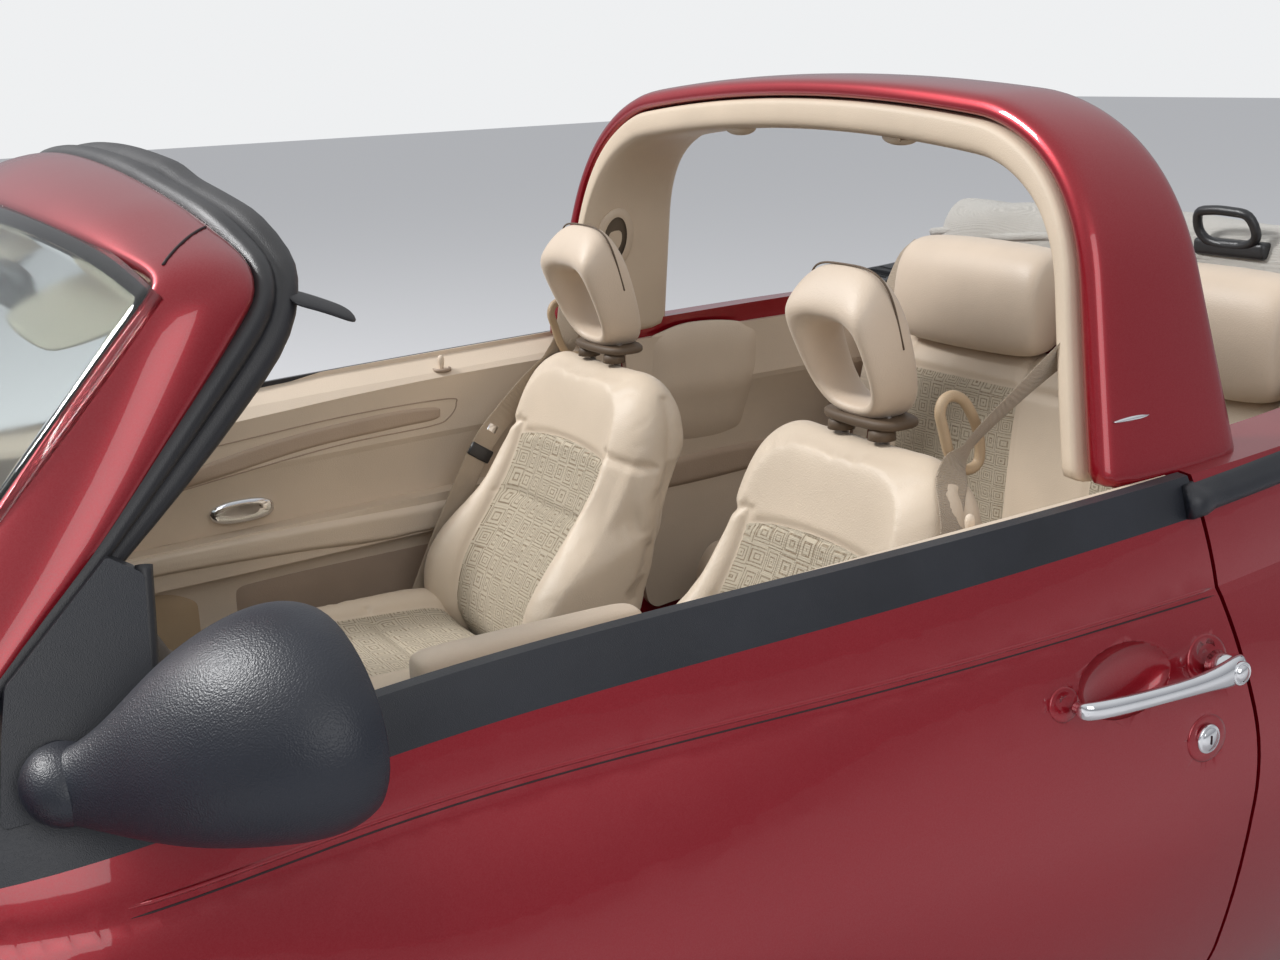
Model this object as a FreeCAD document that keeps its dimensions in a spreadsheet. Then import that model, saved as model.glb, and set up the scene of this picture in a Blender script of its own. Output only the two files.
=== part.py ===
import FreeCAD, Part
import math
import os
from collections import namedtuple

V = FreeCAD.Vector
LEFT = 1
RIGHT = -1
SIDES = (("left", LEFT), ("right", RIGHT))

doc = FreeCAD.newDocument("convertible")

# Driving sizes in millimetres and degrees: name, value, what it measures.
SIZES = [
    ("wheelbase", 2616, "front axle to rear axle"),
    ("front_overhang", 845, "front axle to the tip of the front bumper"),
    ("rear_overhang", 827, "rear axle to the tip of the rear bumper"),
    ("track", 1480, "between the middles of the tyres"),
    ("tyre_radius", 316, "outside of the tread"),
    ("tyre_width", 205, "over the sidewalls"),
    ("rim_radius", 203, "bead seat of the rim"),
    ("rim_lip", 9, "rim flange above the bead seat"),
    ("rim_offset", 42, "wheel face outboard of the rim middle"),
    ("hub_radius", 68, "middle of the wheel face"),
    ("spoke_width", 66, "one spoke across"),
    ("spoke_depth", 34, "one spoke along the axle"),
    ("disc_radius", 140, "brake disc"),
    ("disc_thickness", 24, "brake disc"),
    ("axle_gap", 0.5, "running gap between hub and wheel"),
    ("arch_gap", 46, "tread to the edge of the wheel arch"),
    ("front_well", 452, "inner wall of the front wheel well from the middle"),
    ("rear_well", 606, "inner wall of the rear wheel well from the middle"),
    ("liner_thickness", 5, "wheel arch liner"),
    ("kingpin_offset", 85, "steering axis inboard of the wheel middle at hub height"),
    ("kingpin_lean", 10.5, "lean of the steering axis"),
    ("strut_radius", 24, "suspension strut"),
    ("strut_top", 850, "height of the strut's upper mount"),
    ("panel", 18, "front fenders, hood and cowl, skin and frame together"),
    ("tail_wall", 22, "walls of the trunk"),
    ("door_wall", 80, "door shell, outer skin to trim seat"),
    ("trim_wall", 15, "door trim panel"),
    ("seat_gap", 0.3, "between pieces that lie on each other"),
    ("shut_gap", 7, "gap round doors, hood and trunk lid"),
    ("door_flange", 14, "door skin ahead of the hinge"),
    ("door_hinge_x", 868, "door hinge axis"),
    ("door_hinge_y", 832, "door hinge axis"),
    ("hinge_pin", 4, "radius of the door hinge pins"),
    ("hinge_barrel", 8, "radius of the door hinge knuckles"),
    ("hinge_low", 480, "lower end of the door hinge"),
    ("hinge_knuckle", 32, "one knuckle of the door hinge"),
    ("lid_pin", 1.5, "radius of the hood, lid and flap hinge pins"),
    ("lid_barrel", 3, "radius of the hood, lid and flap hinge knuckles"),
    ("lid_knuckle", 14, "one knuckle of the hood and lid hinges"),
    ("swage", 6, "depth of the step along the crease"),
    ("swage_height", 12, "height of the step along the crease"),
    ("cabin_front", 1060, "firewall, cabin side"),
    ("cabin_rear", -1150, "bulkhead behind the rear seat"),
    ("bulkhead", 25, "firewall and rear bulkhead"),
    ("hood_rear", 1200, "rear edge of the hood"),
    ("nose_wall", 28, "front end panel"),
    ("lid_front", -1610, "front edge of the trunk lid"),
    ("lid_half", 470, "half width of the trunk lid"),
    ("lid_bottom", 610, "lower edge of the trunk lid"),
    ("bumper_bottom", 215, "lower edge of the bumpers"),
    ("bumper_top", 545, "upper edge of the bumpers"),
    ("bumper_depth", 70, "bumper cover, front to back"),
    ("screen_bow", 115, "forward bow of the windscreen at its middle"),
    ("screen_side_x", 1070, "windscreen at its side, at belt height"),
    ("screen_side_y", 690, "half width of the windscreen at belt height"),
    ("belt_level", 1000, "height at which the windscreen sizes are taken"),
    ("screen_rake", 45, "windscreen from the horizontal"),
    ("pillar_depth", 52, "windscreen pillar along the car at its foot, painted part"),
    ("pillar_growth", 0.168, "gain of the pillar's depth with height"),
    ("seal_depth", 62, "black seal behind the windscreen pillar"),
    ("seal_inset", 9, "seal below the painted surface"),
    ("pillar_width", 72, "windscreen pillar across the car"),
    ("glass_thickness", 6, "windscreen glass"),
    ("header_top", 1455, "top of the windscreen header at its middle"),
    ("header_side", 1352, "top of the windscreen header at its corner"),
    ("header_depth", 58, "windscreen header, top to bottom"),
    ("header_rear", 632, "rear edge of the painted header"),
    ("seal_rear", 562, "rear edge of the header seal"),
    ("hoop_top", 1503, "top of the roll hoop"),
    ("hoop_thickness", 32, "roll hoop, outside to lining"),
    ("lining_thickness", 44, "inner lining of the roll hoop"),
    ("floor_level", 215, "underside of the floor"),
    ("floor_thickness", 20, "floor plate"),
    ("rear_floor", 400, "underside of the floor over the rear axle"),
    ("seat_y", 368, "middle of a front seat"),
    ("seat_width", 500, "front seat"),
    ("engine_length", 480, "engine block along the car"),
    ("engine_width", 690, "engine block with gearbox, across"),
    ("engine_height", 520, "engine block"),
    ("steering_x", 700, "steering wheel middle"),
    ("steering_z", 862, "steering wheel middle"),
    ("steering_radius", 185, "steering wheel rim, middle of the grip"),
    ("steering_grip", 15, "radius of the grip"),
    ("steering_lean", 25, "steering wheel from upright"),
    ("bowl_length", 156, "bowl behind the door handle, along the car"),
    ("bowl_height", 96, "bowl behind the door handle"),
    ("bowl_depth", 22, "bowl behind the door handle"),
    ("flap_thickness", 6, "fuel flap"),
    ("flap_gap", 5, "gap round the fuel flap"),
]
sheet = doc.addObject("Spreadsheet::Sheet", "Sizes")
for row, (alias, value, note) in enumerate(SIZES, 1):
    sheet.set("A%d" % row, note)
    sheet.set("B%d" % row, str(value))
    sheet.setAlias("B%d" % row, alias)
doc.recompute()


def size(alias):
    return float(sheet.get(alias))


length = size("wheelbase") + size("front_overhang") + size("rear_overhang")
nose = length / 2
tail = -length / 2
front_axle = nose - size("front_overhang")
rear_axle = tail + size("rear_overhang")
axle_height = size("tyre_radius")
wheel_y = size("track") / 2
arch_radius = size("tyre_radius") + size("arch_gap")
gap = size("shut_gap")
seat_gap = size("seat_gap")
parts = []


# General shapes

def add(label, shape):
    """A sub-part whose shape is worked out from the sheet."""
    item = doc.addObject("Part::Feature", label)
    item.Label = label
    item.Shape = shape
    parts.append(item)
    return item


def corner(before, at, after, radius):
    """Tangent points and middle of the arc that rounds a corner of a flat outline."""
    one = FreeCAD.Vector(before[0] - at[0], before[1] - at[1], 0).normalize()
    two = FreeCAD.Vector(after[0] - at[0], after[1] - at[1], 0).normalize()
    half = one.getAngle(two) / 2
    reach = radius / math.tan(half)
    middle = (one + two).normalize() * (radius / math.sin(half))
    centre = FreeCAD.Vector(at[0], at[1], 0) + middle
    start = FreeCAD.Vector(at[0], at[1], 0) + one * reach
    end = FreeCAD.Vector(at[0], at[1], 0) + two * reach
    via = centre - (one + two).normalize() * radius
    return start, via, end


def outline(points, place):
    """Closed wire through points (a, b, corner radius), set in space by place(a, b)."""
    edges = []
    last = None
    first = None
    count = len(points)
    for i, point in enumerate(points):
        before = points[i - 1]
        after = points[(i + 1) % count]
        if point[2] > 0:
            start, via, end = corner(before, point, after, point[2])
        else:
            start = end = V(point[0], point[1], 0)
        if last is None:
            first = start
        elif (start - last).Length > 1e-6:
            edges.append(Part.makeLine(place(last.x, last.y), place(start.x, start.y)))
        if point[2] > 0:
            arc = Part.Arc(place(start.x, start.y), place(via.x, via.y), place(end.x, end.y))
            edges.append(arc.toShape())
        last = end
    if (first - last).Length > 1e-6:
        edges.append(Part.makeLine(place(last.x, last.y), place(first.x, first.y)))
    return Part.Wire(edges)


def side_prism(points, y_from, y_to, grow=0):
    """Side-view outline of points (x, z, radius), extruded across the car."""
    face = Part.Face(outline(points, lambda a, b: V(a, y_from, b)))
    if grow:
        face = face.makeOffset2D(grow)
    return face.extrude(V(0, y_to - y_from, 0))


def plan_prism(points, z_from, z_to, grow=0):
    """Plan outline of points (x, y, radius), extruded upwards."""
    face = Part.Face(outline(points, lambda a, b: V(a, b, z_from)))
    if grow:
        face = face.makeOffset2D(grow)
    return face.extrude(V(0, 0, z_to - z_from))


def front_prism(points, x_from, x_to, grow=0):
    """Front-view outline of points (y, z, radius), extruded along the car."""
    face = Part.Face(outline(points, lambda a, b: V(x_from, a, b)))
    if grow:
        face = face.makeOffset2D(grow)
    return face.extrude(V(x_to - x_from, 0, 0))


def block(x_from, x_to, y_from, y_to, z_from, z_to):
    return Part.makeBox(x_to - x_from, y_to - y_from, z_to - z_from, V(x_from, y_from, z_from))


def rod(start, end, radius):
    return Part.makeCylinder(radius, (end - start).Length, start, end - start)


def mirrored(shape):
    return shape.mirror(V(0, 0, 0), V(0, 1, 0))


def sided(shape, side):
    return shape.copy() if side == LEFT else mirrored(shape)


def pair(shape):
    return Part.makeCompound([shape, mirrored(shape)])


def whole(shape):
    """The same shape as one solid, or as a compound of its solids."""
    shape = shape.removeSplitter()
    if len(shape.Solids) == 1:
        return shape.Solids[0]
    return Part.makeCompound(shape.Solids)


def rounded(shape, radius, wanted):
    """Round the edges that wanted(edge) picks."""
    edges = [edge for edge in shape.Edges if wanted(edge)]
    return shape.makeFillet(radius, edges)


def hinge(start, way, knuckle, count, barrel, pin):
    """Fixed knuckles with their pin, and the moving knuckles between them, along one axis."""
    step = knuckle + 2
    fixed = rod(start, start + way * (step * count - 2), pin)
    moving = []
    for number in range(count):
        piece = rod(start + way * (step * number), start + way * (step * number + knuckle), barrel)
        if number % 2 == 0:
            fixed = fixed.fuse(piece)
        else:
            moving.append(piece.cut(rod(start, start + way * (step * count), pin + seat_gap)))
    return fixed, moving


# Body surface
# Half sections from nose to tail: lower corner, widest point, crease, belt or hood shoulder, crown.

Station = namedtuple("Station", "x y_low z_low y_side z_side y_crease z_crease y_belt z_belt z_crown")
STATIONS = [
    Station(front_axle + 726, 440, 345, 610, 560, 455, 757, 412, 788, 816),
    Station(front_axle + 661, 540, 300, 735, 580, 525, 815, 460, 872, 908),
    Station(front_axle + 561, 600, 255, 812, 600, 570, 858, 500, 930, 962),
    Station(front_axle + 351, 640, 225, 846, 615, 605, 882, 548, 975, 1010),
    Station(front_axle, 680, 200, 852, 620, 650, 885, 600, 1006, 1045),
    Station(front_axle - 339, 725, 190, 850, 600, 806, 850, 754, 966, 1022),
    Station(front_axle - 659, 755, 190, 842, 575, 788, 836, 748, 972, 1010),
    Station(front_axle - 1199, 770, 190, 838, 565, 799, 838, 757, 994, 1030),
    Station(rear_axle + 817, 770, 190, 845, 575, 801, 853, 767, 1014, 1050),
    Station(rear_axle + 417, 745, 195, 850, 600, 765, 872, 735, 1030, 1070),
    Station(rear_axle, 700, 210, 852, 620, 690, 885, 660, 1040, 1085),
    Station(rear_axle - 383, 660, 240, 838, 620, 635, 870, 590, 1010, 1065),
    Station(rear_axle - 603, 620, 280, 795, 610, 585, 815, 530, 930, 985),
    Station(rear_axle - 733, 540, 330, 700, 590, 500, 720, 455, 790, 840),
]


def quadratic(*points):
    curve = Part.BezierCurve()
    curve.setPoles(list(points))
    return curve.toShape()


def body_section(station, side, floor, roof):
    """Section wire, with its sides, floor and roof moved inwards by these distances."""
    y_low, z_low = station.y_low - side, station.z_low + floor
    y_side, z_side = station.y_side - side, station.z_side
    y_crease, z_crease = station.y_crease - side, station.z_crease - max(roof, 0)
    y_belt, z_belt = station.y_belt - side, station.z_belt - roof
    z_crown = station.z_crown - roof
    y_step, z_step = y_crease - size("swage"), z_crease + size("swage_height")
    rise = V(0, y_belt - y_step, z_belt - z_step)
    bulge = 10.0
    halves = []
    for hand in (LEFT, RIGHT):
        low = V(station.x, hand * y_low, z_low)
        wide = V(station.x, hand * y_side, z_side)
        crease = V(station.x, hand * y_crease, z_crease)
        step = V(station.x, hand * y_step, z_step)
        belt = V(station.x, hand * y_belt, z_belt)
        under = V(station.x, hand * y_side, z_low + 0.4 * (z_side - z_low))
        over = V(station.x, hand * y_side, z_side + 0.6 * (z_crease - z_side))
        out = V(station.x,
                hand * ((y_step + y_belt) / 2 + bulge * rise.z / rise.Length),
                (z_step + z_belt) / 2 - bulge * rise.y / rise.Length)
        halves.append([quadratic(low, under, wide), quadratic(wide, over, crease),
                       Part.makeLine(crease, step), quadratic(step, out, belt)])
    bottom = Part.makeLine(V(station.x, -y_low, z_low), V(station.x, y_low, z_low))
    top = quadratic(V(station.x, y_belt, z_belt), V(station.x, 0, 2 * z_crown - z_belt),
                    V(station.x, -y_belt, z_belt))
    return Part.Wire([bottom] + halves[0] + [top] + halves[1][::-1])


def body_loft(side=0, floor=0, roof=0):
    return Part.makeLoft([body_section(s, side, floor, roof) for s in STATIONS], True, False)


def at_station(x, column):
    """A column of the station table, read between its rows."""
    for ahead, behind in zip(STATIONS, STATIONS[1:]):
        if ahead.x >= x >= behind.x:
            share = (x - behind.x) / (ahead.x - behind.x)
            one, two = getattr(ahead, column), getattr(behind, column)
            return two + share * (one - two)
    raise ValueError("no station at %s" % x)


body_front = STATIONS[0].x
body_rear = STATIONS[-1].x
FAR = 1200
wall = size("door_wall") + size("trim_wall")
outer = body_loft()
open_below = -150
open_above = -16

cabin_void = body_loft(wall, open_below, open_above).common(
    block(size("cabin_rear"), size("cabin_front"), -FAR, FAR, 0, 2 * FAR))
bay_void = body_loft(size("panel"), open_below, size("panel")).common(
    block(size("cabin_front") + size("bulkhead"), body_front - size("nose_wall"), -FAR, FAR, 0, 2 * FAR))
trunk_void = body_loft(size("tail_wall"), open_below, size("tail_wall")).common(
    block(body_rear + size("bulkhead"), size("cabin_rear") - size("bulkhead"), -FAR, FAR, 0, 2 * FAR))
walls = outer.cut(cabin_void).cut(bay_void).cut(trunk_void)


def well(axle_x, inner_y, radius, side):
    start = V(axle_x, side * inner_y, axle_height)
    return rod(start, V(axle_x, side * FAR, axle_height), radius)


for hand in (LEFT, RIGHT):
    walls = walls.cut(well(front_axle, size("front_well"), arch_radius, hand))
    walls = walls.cut(well(rear_axle, size("rear_well"), arch_radius, hand))

# Outlines of the opening panels

door_front_top = 985
door_front_low = 885
door_bottom = 300
door_rear_low = -500
DOOR_OUTLINE = [
    (door_front_top, 1300, 0), (door_front_top, 900, 150), (door_front_low, 480, 250),
    (door_front_low, door_bottom, 55), (door_rear_low, door_bottom, 80), (-556, 640, 350),
    (-458, 1100, 0), (-415, 1300, 0),
]
belt_front = V(door_front_top, 0, 905)
belt_rear = V(door_rear_low, 0, 963)
belt_slope = (belt_rear.z - belt_front.z) / (belt_rear.x - belt_front.x)


def belt_line(x):
    """Height of the lower edge of the belt moulding."""
    return belt_front.z + belt_slope * (x - belt_front.x)


above_belt = side_prism([
    (FAR, belt_line(FAR), 0), (-FAR, belt_line(-FAR), 0), (-FAR, 2 * FAR, 0), (FAR, 2 * FAR, 0)],
    -FAR, FAR)
door_prism = side_prism(DOOR_OUTLINE, 600, FAR)
door_opening = side_prism(DOOR_OUTLINE, 400, FAR, gap)

HOOD_SIDE = [s for s in STATIONS if s.x > size("hood_rear")]
hood_inset = size("swage") + 4
hood_points = [(body_front + 50, STATIONS[0].y_crease - hood_inset, 0)]
hood_points += [(s.x, s.y_crease - hood_inset, 0) for s in HOOD_SIDE]
hood_corner = (size("hood_rear"), at_station(front_axle, "y_crease") - hood_inset + 2, 0)
hood_points.append(hood_corner)
hood_points += [(x, -y, r) for x, y, r in hood_points[::-1]]
hood_low = 760
hood_prism = plan_prism(hood_points, hood_low, 2 * FAR)
hood_opening = plan_prism(hood_points, hood_low - gap, 2 * FAR, gap)

lid_front = size("lid_front")
lid_half = size("lid_half")
LID_PLAN = [(lid_front, lid_half + 40, 60), (lid_front, -lid_half - 40, 60),
            (-2 * FAR, -lid_half + 60, 0), (-2 * FAR, lid_half - 60, 0)]
lid_prism = plan_prism(LID_PLAN, size("lid_bottom"), 2 * FAR)
lid_opening = plan_prism(LID_PLAN, size("lid_bottom") - gap, 2 * FAR, gap)

FLAP = [(-1695, 685, 25), (-1695, 565, 25), (-1815, 565, 25), (-1815, 685, 25)]
flap_prism = side_prism(FLAP, 500, FAR)
flap_skin = outer.cut(body_loft(size("flap_thickness"), size("flap_thickness"), size("flap_thickness")))
flap_recess = side_prism(FLAP, 500, FAR, size("flap_gap")).cut(
    body_loft(size("tail_wall") - 8, open_below, size("tail_wall") - 8))

# Doors with belt moulding, trim, handle and mirror

inside_shell = body_loft(size("door_wall"), open_below, open_above)
inside_trim_seat = body_loft(size("door_wall") + seat_gap, open_below, open_above)
hinge_x = size("door_hinge_x")
hinge_y = size("door_hinge_y")
door_face = hinge_x - 20
inside_flange = body_loft(size("door_flange"), open_below, open_above).common(
    block(door_face, FAR, -FAR, FAR, 0, 2 * FAR))
door_skin = walls.common(door_prism).cut(inside_shell).cut(above_belt).cut(inside_flange)
belt_inner = 20
belt_block = outer.common(door_prism).common(above_belt).cut(
    body_loft(belt_inner, open_below, open_above)).cut(inside_flange)
top_roll = outer.common(door_prism).common(above_belt).common(
    body_loft(belt_inner + seat_gap, open_below, open_above)).cut(
    body_loft(wall, open_below, open_above))
trim_panel = walls.common(door_prism).common(inside_trim_seat).cut(above_belt)
trim_bottom = door_bottom + 30
trim_limits = side_prism(
    [(door_face - 2, trim_bottom, 40), (door_rear_low + 20, trim_bottom, 60),
     (-520, 640, 0), (-440, 1100, 0), (door_face - 2, 1100, 0)],
    500, FAR)
armrest = side_prism([(640, 640, 30), (640, 715, 30), (-380, 745, 25), (-380, 670, 30)], 690, 780)
armrest = armrest.common(body_loft(wall - 40, 0, 0)).cut(body_loft(wall + 42, open_below, open_above))
armrest = armrest.common(inside_trim_seat)
door_trim = trim_panel.fuse(top_roll).common(trim_limits).fuse(armrest)

# Triangular plate under the mirror, flush with the windscreen pillar's side
SAIL = [(951, 950, 6), (937, 1017, 30), (926, 1056, 12), (824, 1143, 5), (795, 1124, 8), (808, 1029, 60),
        (798, 950, 6)]
pillar_foot_y = 752
pillar_lean = 0.4
sail_depth = 24


def along_pillar(depth_from, depth_to):
    """Slab parallel to the windscreen pillar's side, between two depths below it."""
    foot, top = 940, 1200
    points = [(pillar_foot_y - depth - pillar_lean * (z - size("belt_level")), z, 0)
              for depth, z in ((depth_from, foot), (depth_from, top), (depth_to, top), (depth_to, foot))]
    return front_prism(points, 700, 1100)


sail = side_prism(SAIL, 500, FAR).common(along_pillar(0, sail_depth))
sail_room = side_prism(SAIL, 500, FAR, seat_gap).common(along_pillar(-seat_gap, sail_depth + seat_gap))
door_belt = belt_block.fuse(sail)
door_trim = door_trim.cut(sail_room)

# The trim falls away from the belt moulding towards the cabin
TRIM_FALL = [(belt_inner - 4, -6), (62, -28), (88, -48), (wall + 20, -110), (wall + 20, 80), (belt_inner - 4, 80)]
fall_wires = []
for s in STATIONS:
    if 1100 > s.x > -1000:
        points = [V(s.x, s.y_belt - inset, s.z_belt + rise) for inset, rise in TRIM_FALL]
        fall_wires.append(Part.makePolygon(points + points[:1]))
door_trim = door_trim.cut(Part.makeLoft(fall_wires, True, True))

# Bowl behind the handle, as an ellipsoid sunk into the door, with its own wall
def bowl(thickness):
    """Ellipsoid of the bowl, grown by a wall thickness."""
    shape = FreeCAD.Matrix()
    shape.scale(size("bowl_length") / 2 + thickness, size("bowl_depth") + thickness,
                size("bowl_height") / 2 + thickness)
    form = Part.makeSphere(1).transformGeometry(shape)
    form.translate(V(-322, 850, 795))
    return form


door_skin = door_skin.fuse(bowl(4).common(outer)).cut(bowl(0))
door_trim = door_trim.cut(bowl(4 + seat_gap))

handle_bar = rod(V(-213, 858, 786), V(-455, 868, 785), 11)
handle_button = rod(V(-469, 800, 784), V(-469, 877, 784), 21)
handle_foot = rod(V(-222, 800, 786), V(-222, 862, 786), 9)
handle_lock = rod(V(-455, 815, 687), V(-455, 849, 687), 15)
handle = handle_bar.fuse(handle_button).fuse(handle_foot)

# Mirror housing as ellipses along the car, from the glass to the neck: x, y, z, half width, half height.
MIRROR = [(702, 905, 1044, 116, 82), (722, 905, 1044, 124, 90), (770, 900, 1040, 118, 88), (820, 882, 1026, 96, 72),
          (860, 852, 1006, 66, 50), (890, 815, 990, 42, 34), (915, 790, 984, 30, 26)]
rings = []
for x, y, z, half_width, half_height in MIRROR:
    ring = Part.Ellipse(V(0, 0, 0), half_width, half_height).toShape()
    ring.rotate(V(0, 0, 0), V(0, 1, 0), 90)
    ring.rotate(V(0, 0, 0), V(1, 0, 0), 90)
    ring.translate(V(x, y, z))
    rings.append(Part.Wire([ring]))
housing = Part.makeLoft(rings, True)
foot = rod(V(897, 746, 984), V(897, 806, 984), 24)
mirror_body = housing.fuse(foot).cut(door_belt)

# Door hinge: fixed knuckles on angled leaves that reach behind the door's front edge to the door post
hinge_start = V(hinge_x, hinge_y, size("hinge_low"))
barrel = size("hinge_barrel")
knuckle = size("hinge_knuckle")
fixed_hinge, moving_hinge = hinge(hinge_start, V(0, 0, 1), knuckle, 5, barrel, size("hinge_pin"))
hinge_top = hinge_start.z + 5 * (knuckle + 2)
door_skin = door_skin.cut(rod(hinge_start - V(0, 0, 2), V(hinge_x, hinge_y, hinge_top), barrel + 2))
to_the_post = side_prism(DOOR_OUTLINE, 400, FAR, gap - seat_gap)
for number in range(0, 5, 2):
    low = hinge_start.z + number * (knuckle + 2)
    fixed_hinge = fixed_hinge.fuse(block(hinge_x - 6, hinge_x + 3, 758, hinge_y - 4, low, low + knuckle))
    leaf = block(hinge_x - 6, door_front_top + 50, 758, 768, low, low + knuckle)
    fixed_hinge = fixed_hinge.fuse(leaf.common(to_the_post))
for number, piece in enumerate(moving_hinge):
    low = hinge_start.z + (2 * number + 1) * (knuckle + 2)
    arm = block(door_face - 10, hinge_x - 5, hinge_y - 6, hinge_y + 8, low, low + knuckle)
    door_skin = door_skin.fuse(arm).fuse(piece)
add("door_hinges", pair(whole(fixed_hinge)))

# Space that the door's front edge turns through, with its running gap
front_edge = [(300 - gap, door_front_low), (451, door_front_low), (508, door_front_low + 8), (882, door_front_top),
              (1000, door_front_top)]
sweep_points = [V(hinge_x, hinge_y, 300 - gap)]
for z, x in front_edge:
    reach = math.hypot(x - hinge_x, 850 - hinge_y) + 5
    sweep_points.append(V(hinge_x + reach, hinge_y, z))
sweep_points += [V(hinge_x, hinge_y, 1000), V(hinge_x, hinge_y, 300 - gap)]
door_sweep = Part.Face(Part.makePolygon(sweep_points)).revolve(V(hinge_x, hinge_y, 0), V(0, 0, 1), 360)

for name, side in SIDES:
    add("door_%s" % name, sided(whole(door_skin.cut(handle.fuse(handle_lock))), side))
    add("door_%s_belt" % name, sided(whole(door_belt), side))
    add("door_%s_trim" % name, sided(whole(door_trim), side))
    add("door_%s_handle" % name, sided(Part.makeCompound([handle, handle_lock]), side))
    add("mirror_%s" % name, sided(whole(mirror_body), side))

# Hood, trunk lid and fuel flap

hood = walls.common(hood_prism)
lid = walls.common(lid_prism)
lid_bar = size("lid_barrel")
lid_pin = size("lid_pin")
lid_knuckle = size("lid_knuckle")


def top_of(x):
    """Height of the body's surface on its middle plane."""
    return max(v.Z for v in outer.common(Part.makeLine(V(x, 0, 700), V(x, 0, 2 * FAR))).Vertexes)


hinge_depth = 5
hood_axis = V(size("hood_rear") - gap / 2, 96, top_of(size("hood_rear")) - hinge_depth)
lid_axis = V(lid_front + gap / 2, 50, top_of(lid_front) - hinge_depth)


def lid_hinge(axis, way):
    """Small hinge let into the gap of a lid: what stays on the body and what turns with the lid."""
    fixed, moving = hinge(axis, V(0, 1, 0), lid_knuckle, 3, lid_bar, lid_pin)
    for number in (0, 2):
        start = axis.y + number * (lid_knuckle + 2)
        fixed = fixed.fuse(block(min(axis.x, axis.x - way * 8), max(axis.x, axis.x - way * 8), start,
                                 start + lid_knuckle, axis.z - lid_bar, axis.z))
    start = axis.y + lid_knuckle + 2
    leaf = block(min(axis.x + way * 2, axis.x + way * 8), max(axis.x + way * 2, axis.x + way * 8), start,
                 start + lid_knuckle, axis.z - lid_bar, axis.z)
    return fixed, moving[0].fuse(leaf)


hood_fixed, hood_moving = lid_hinge(hood_axis, 1)
lid_fixed, lid_moving = lid_hinge(lid_axis, -1)
for hand in (LEFT, RIGHT):
    hood = hood.fuse(sided(hood_moving, hand))
    lid = lid.fuse(sided(lid_moving, hand))
add("hood", whole(hood))
add("trunk_lid", whole(lid))
flap_axis = V(FLAP[0][0] + size("flap_gap") / 2, 837, FLAP[1][1] + 25)
flap_fixed, flap_moving = hinge(flap_axis, V(0, 0, 1), 22, 3, 2, 1)
flap_leaf = block(flap_axis.x - 8, flap_axis.x - 1.5, flap_axis.y - 4, flap_axis.y, flap_axis.z + 24, flap_axis.z + 46)
for start in (0, 48):
    flap_fixed = flap_fixed.fuse(block(flap_axis.x, flap_axis.x + 5, flap_axis.y - 4, flap_axis.y,
                                       flap_axis.z + start, flap_axis.z + start + 22))
add("fuel_flap", whole(flap_skin.common(flap_prism).fuse(flap_moving[0]).fuse(flap_leaf)))

# Fixed body

shell = walls
for hand in (LEFT, RIGHT):
    shell = shell.cut(sided(door_opening, hand))
shell = shell.cut(hood_opening).cut(lid_opening).cut(flap_recess)
bumper_reach_front = front_axle + arch_radius + 25
bumper_reach_rear = rear_axle - arch_radius - 25
bumper_top = size("bumper_top")
shell = shell.cut(block(bumper_reach_front - seat_gap, 2 * FAR, -FAR, FAR, 0, bumper_top + seat_gap))
shell = shell.cut(block(-2 * FAR, bumper_reach_rear + seat_gap, -FAR, FAR, 0, bumper_top + seat_gap))
shell = shell.cut(block(size("cabin_rear") - size("bulkhead") - 1, size("cabin_rear") + 1, -590, 590, 0,
                        size("rear_floor") + size("floor_thickness")))
shell = shell.cut(block(size("cabin_front") - 1, size("cabin_front") + size("bulkhead") + 1, -425, 425, 0, 345))
thick = size("liner_thickness")
stub_radius = 44
cabin_inside = body_loft(wall, open_below, open_above)
liner_rooms = []
for axle_x, inner in ((front_axle, size("front_well")), (rear_axle, size("rear_well"))):
    for hand in (LEFT, RIGHT):
        room = well(axle_x, inner - thick - seat_gap, arch_radius + thick + seat_gap, hand)
        liner_rooms.append(room)
        shell = shell.cut(room.common(cabin_inside))

fender_rear = door_front_top + gap


def ahead_of_door(shift):
    """Everything ahead of the door's front edge."""
    low = door_front_low + gap - 3 - shift
    high = door_front_top + gap - 3 - shift
    return side_prism([(low, 0, 0), (low, 480, 0), (high, 900, 0), (high, 2 * FAR, 0), (2 * FAR, 2 * FAR, 0),
                       (2 * FAR, 0, 0)], -FAR, FAR)


under_skin = body_loft(size("panel") + seat_gap, open_below, size("panel") + seat_gap)
door_sweeps = Part.makeCompound([door_sweep, mirrored(door_sweep)])
front_end = shell.common(ahead_of_door(0)).cut(door_sweeps)
cowl_points = [(s.x, s.y_crease - hood_inset, 0) for s in HOOD_SIDE if 1900 > s.x]
cowl_points += [hood_corner] + [(s.x, s.y_crease - hood_inset, 0) for s in STATIONS if size("hood_rear") > s.x > 900]
cowl_points += [(x, -y, r) for x, y, r in cowl_points[::-1]]
cowl_zone = plan_prism(cowl_points, 0, 2 * FAR)
fenders = front_end.cut(under_skin.common(
    block(0, body_front - size("nose_wall") - 1, -FAR, FAR, 0, 2 * FAR))).cut(cowl_zone)
grille_top = hood_low - gap
grille_low = bumper_top + seat_gap
GRILLE = [(-322, grille_low, 30), (322, grille_low, 30), (300, grille_top, 40), (-300, grille_top, 40)]
fenders = fenders.cut(front_prism(GRILLE, body_front - 200, 2 * FAR, seat_gap))
cowl_inner = plan_prism(cowl_points, 0, 2 * FAR, -seat_gap)
cowl = front_end.common(block(0, size("hood_rear") - gap, -FAR, FAR, 0, 2 * FAR))
cowl = cowl.common(under_skin.fuse(cowl_inner))
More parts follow.
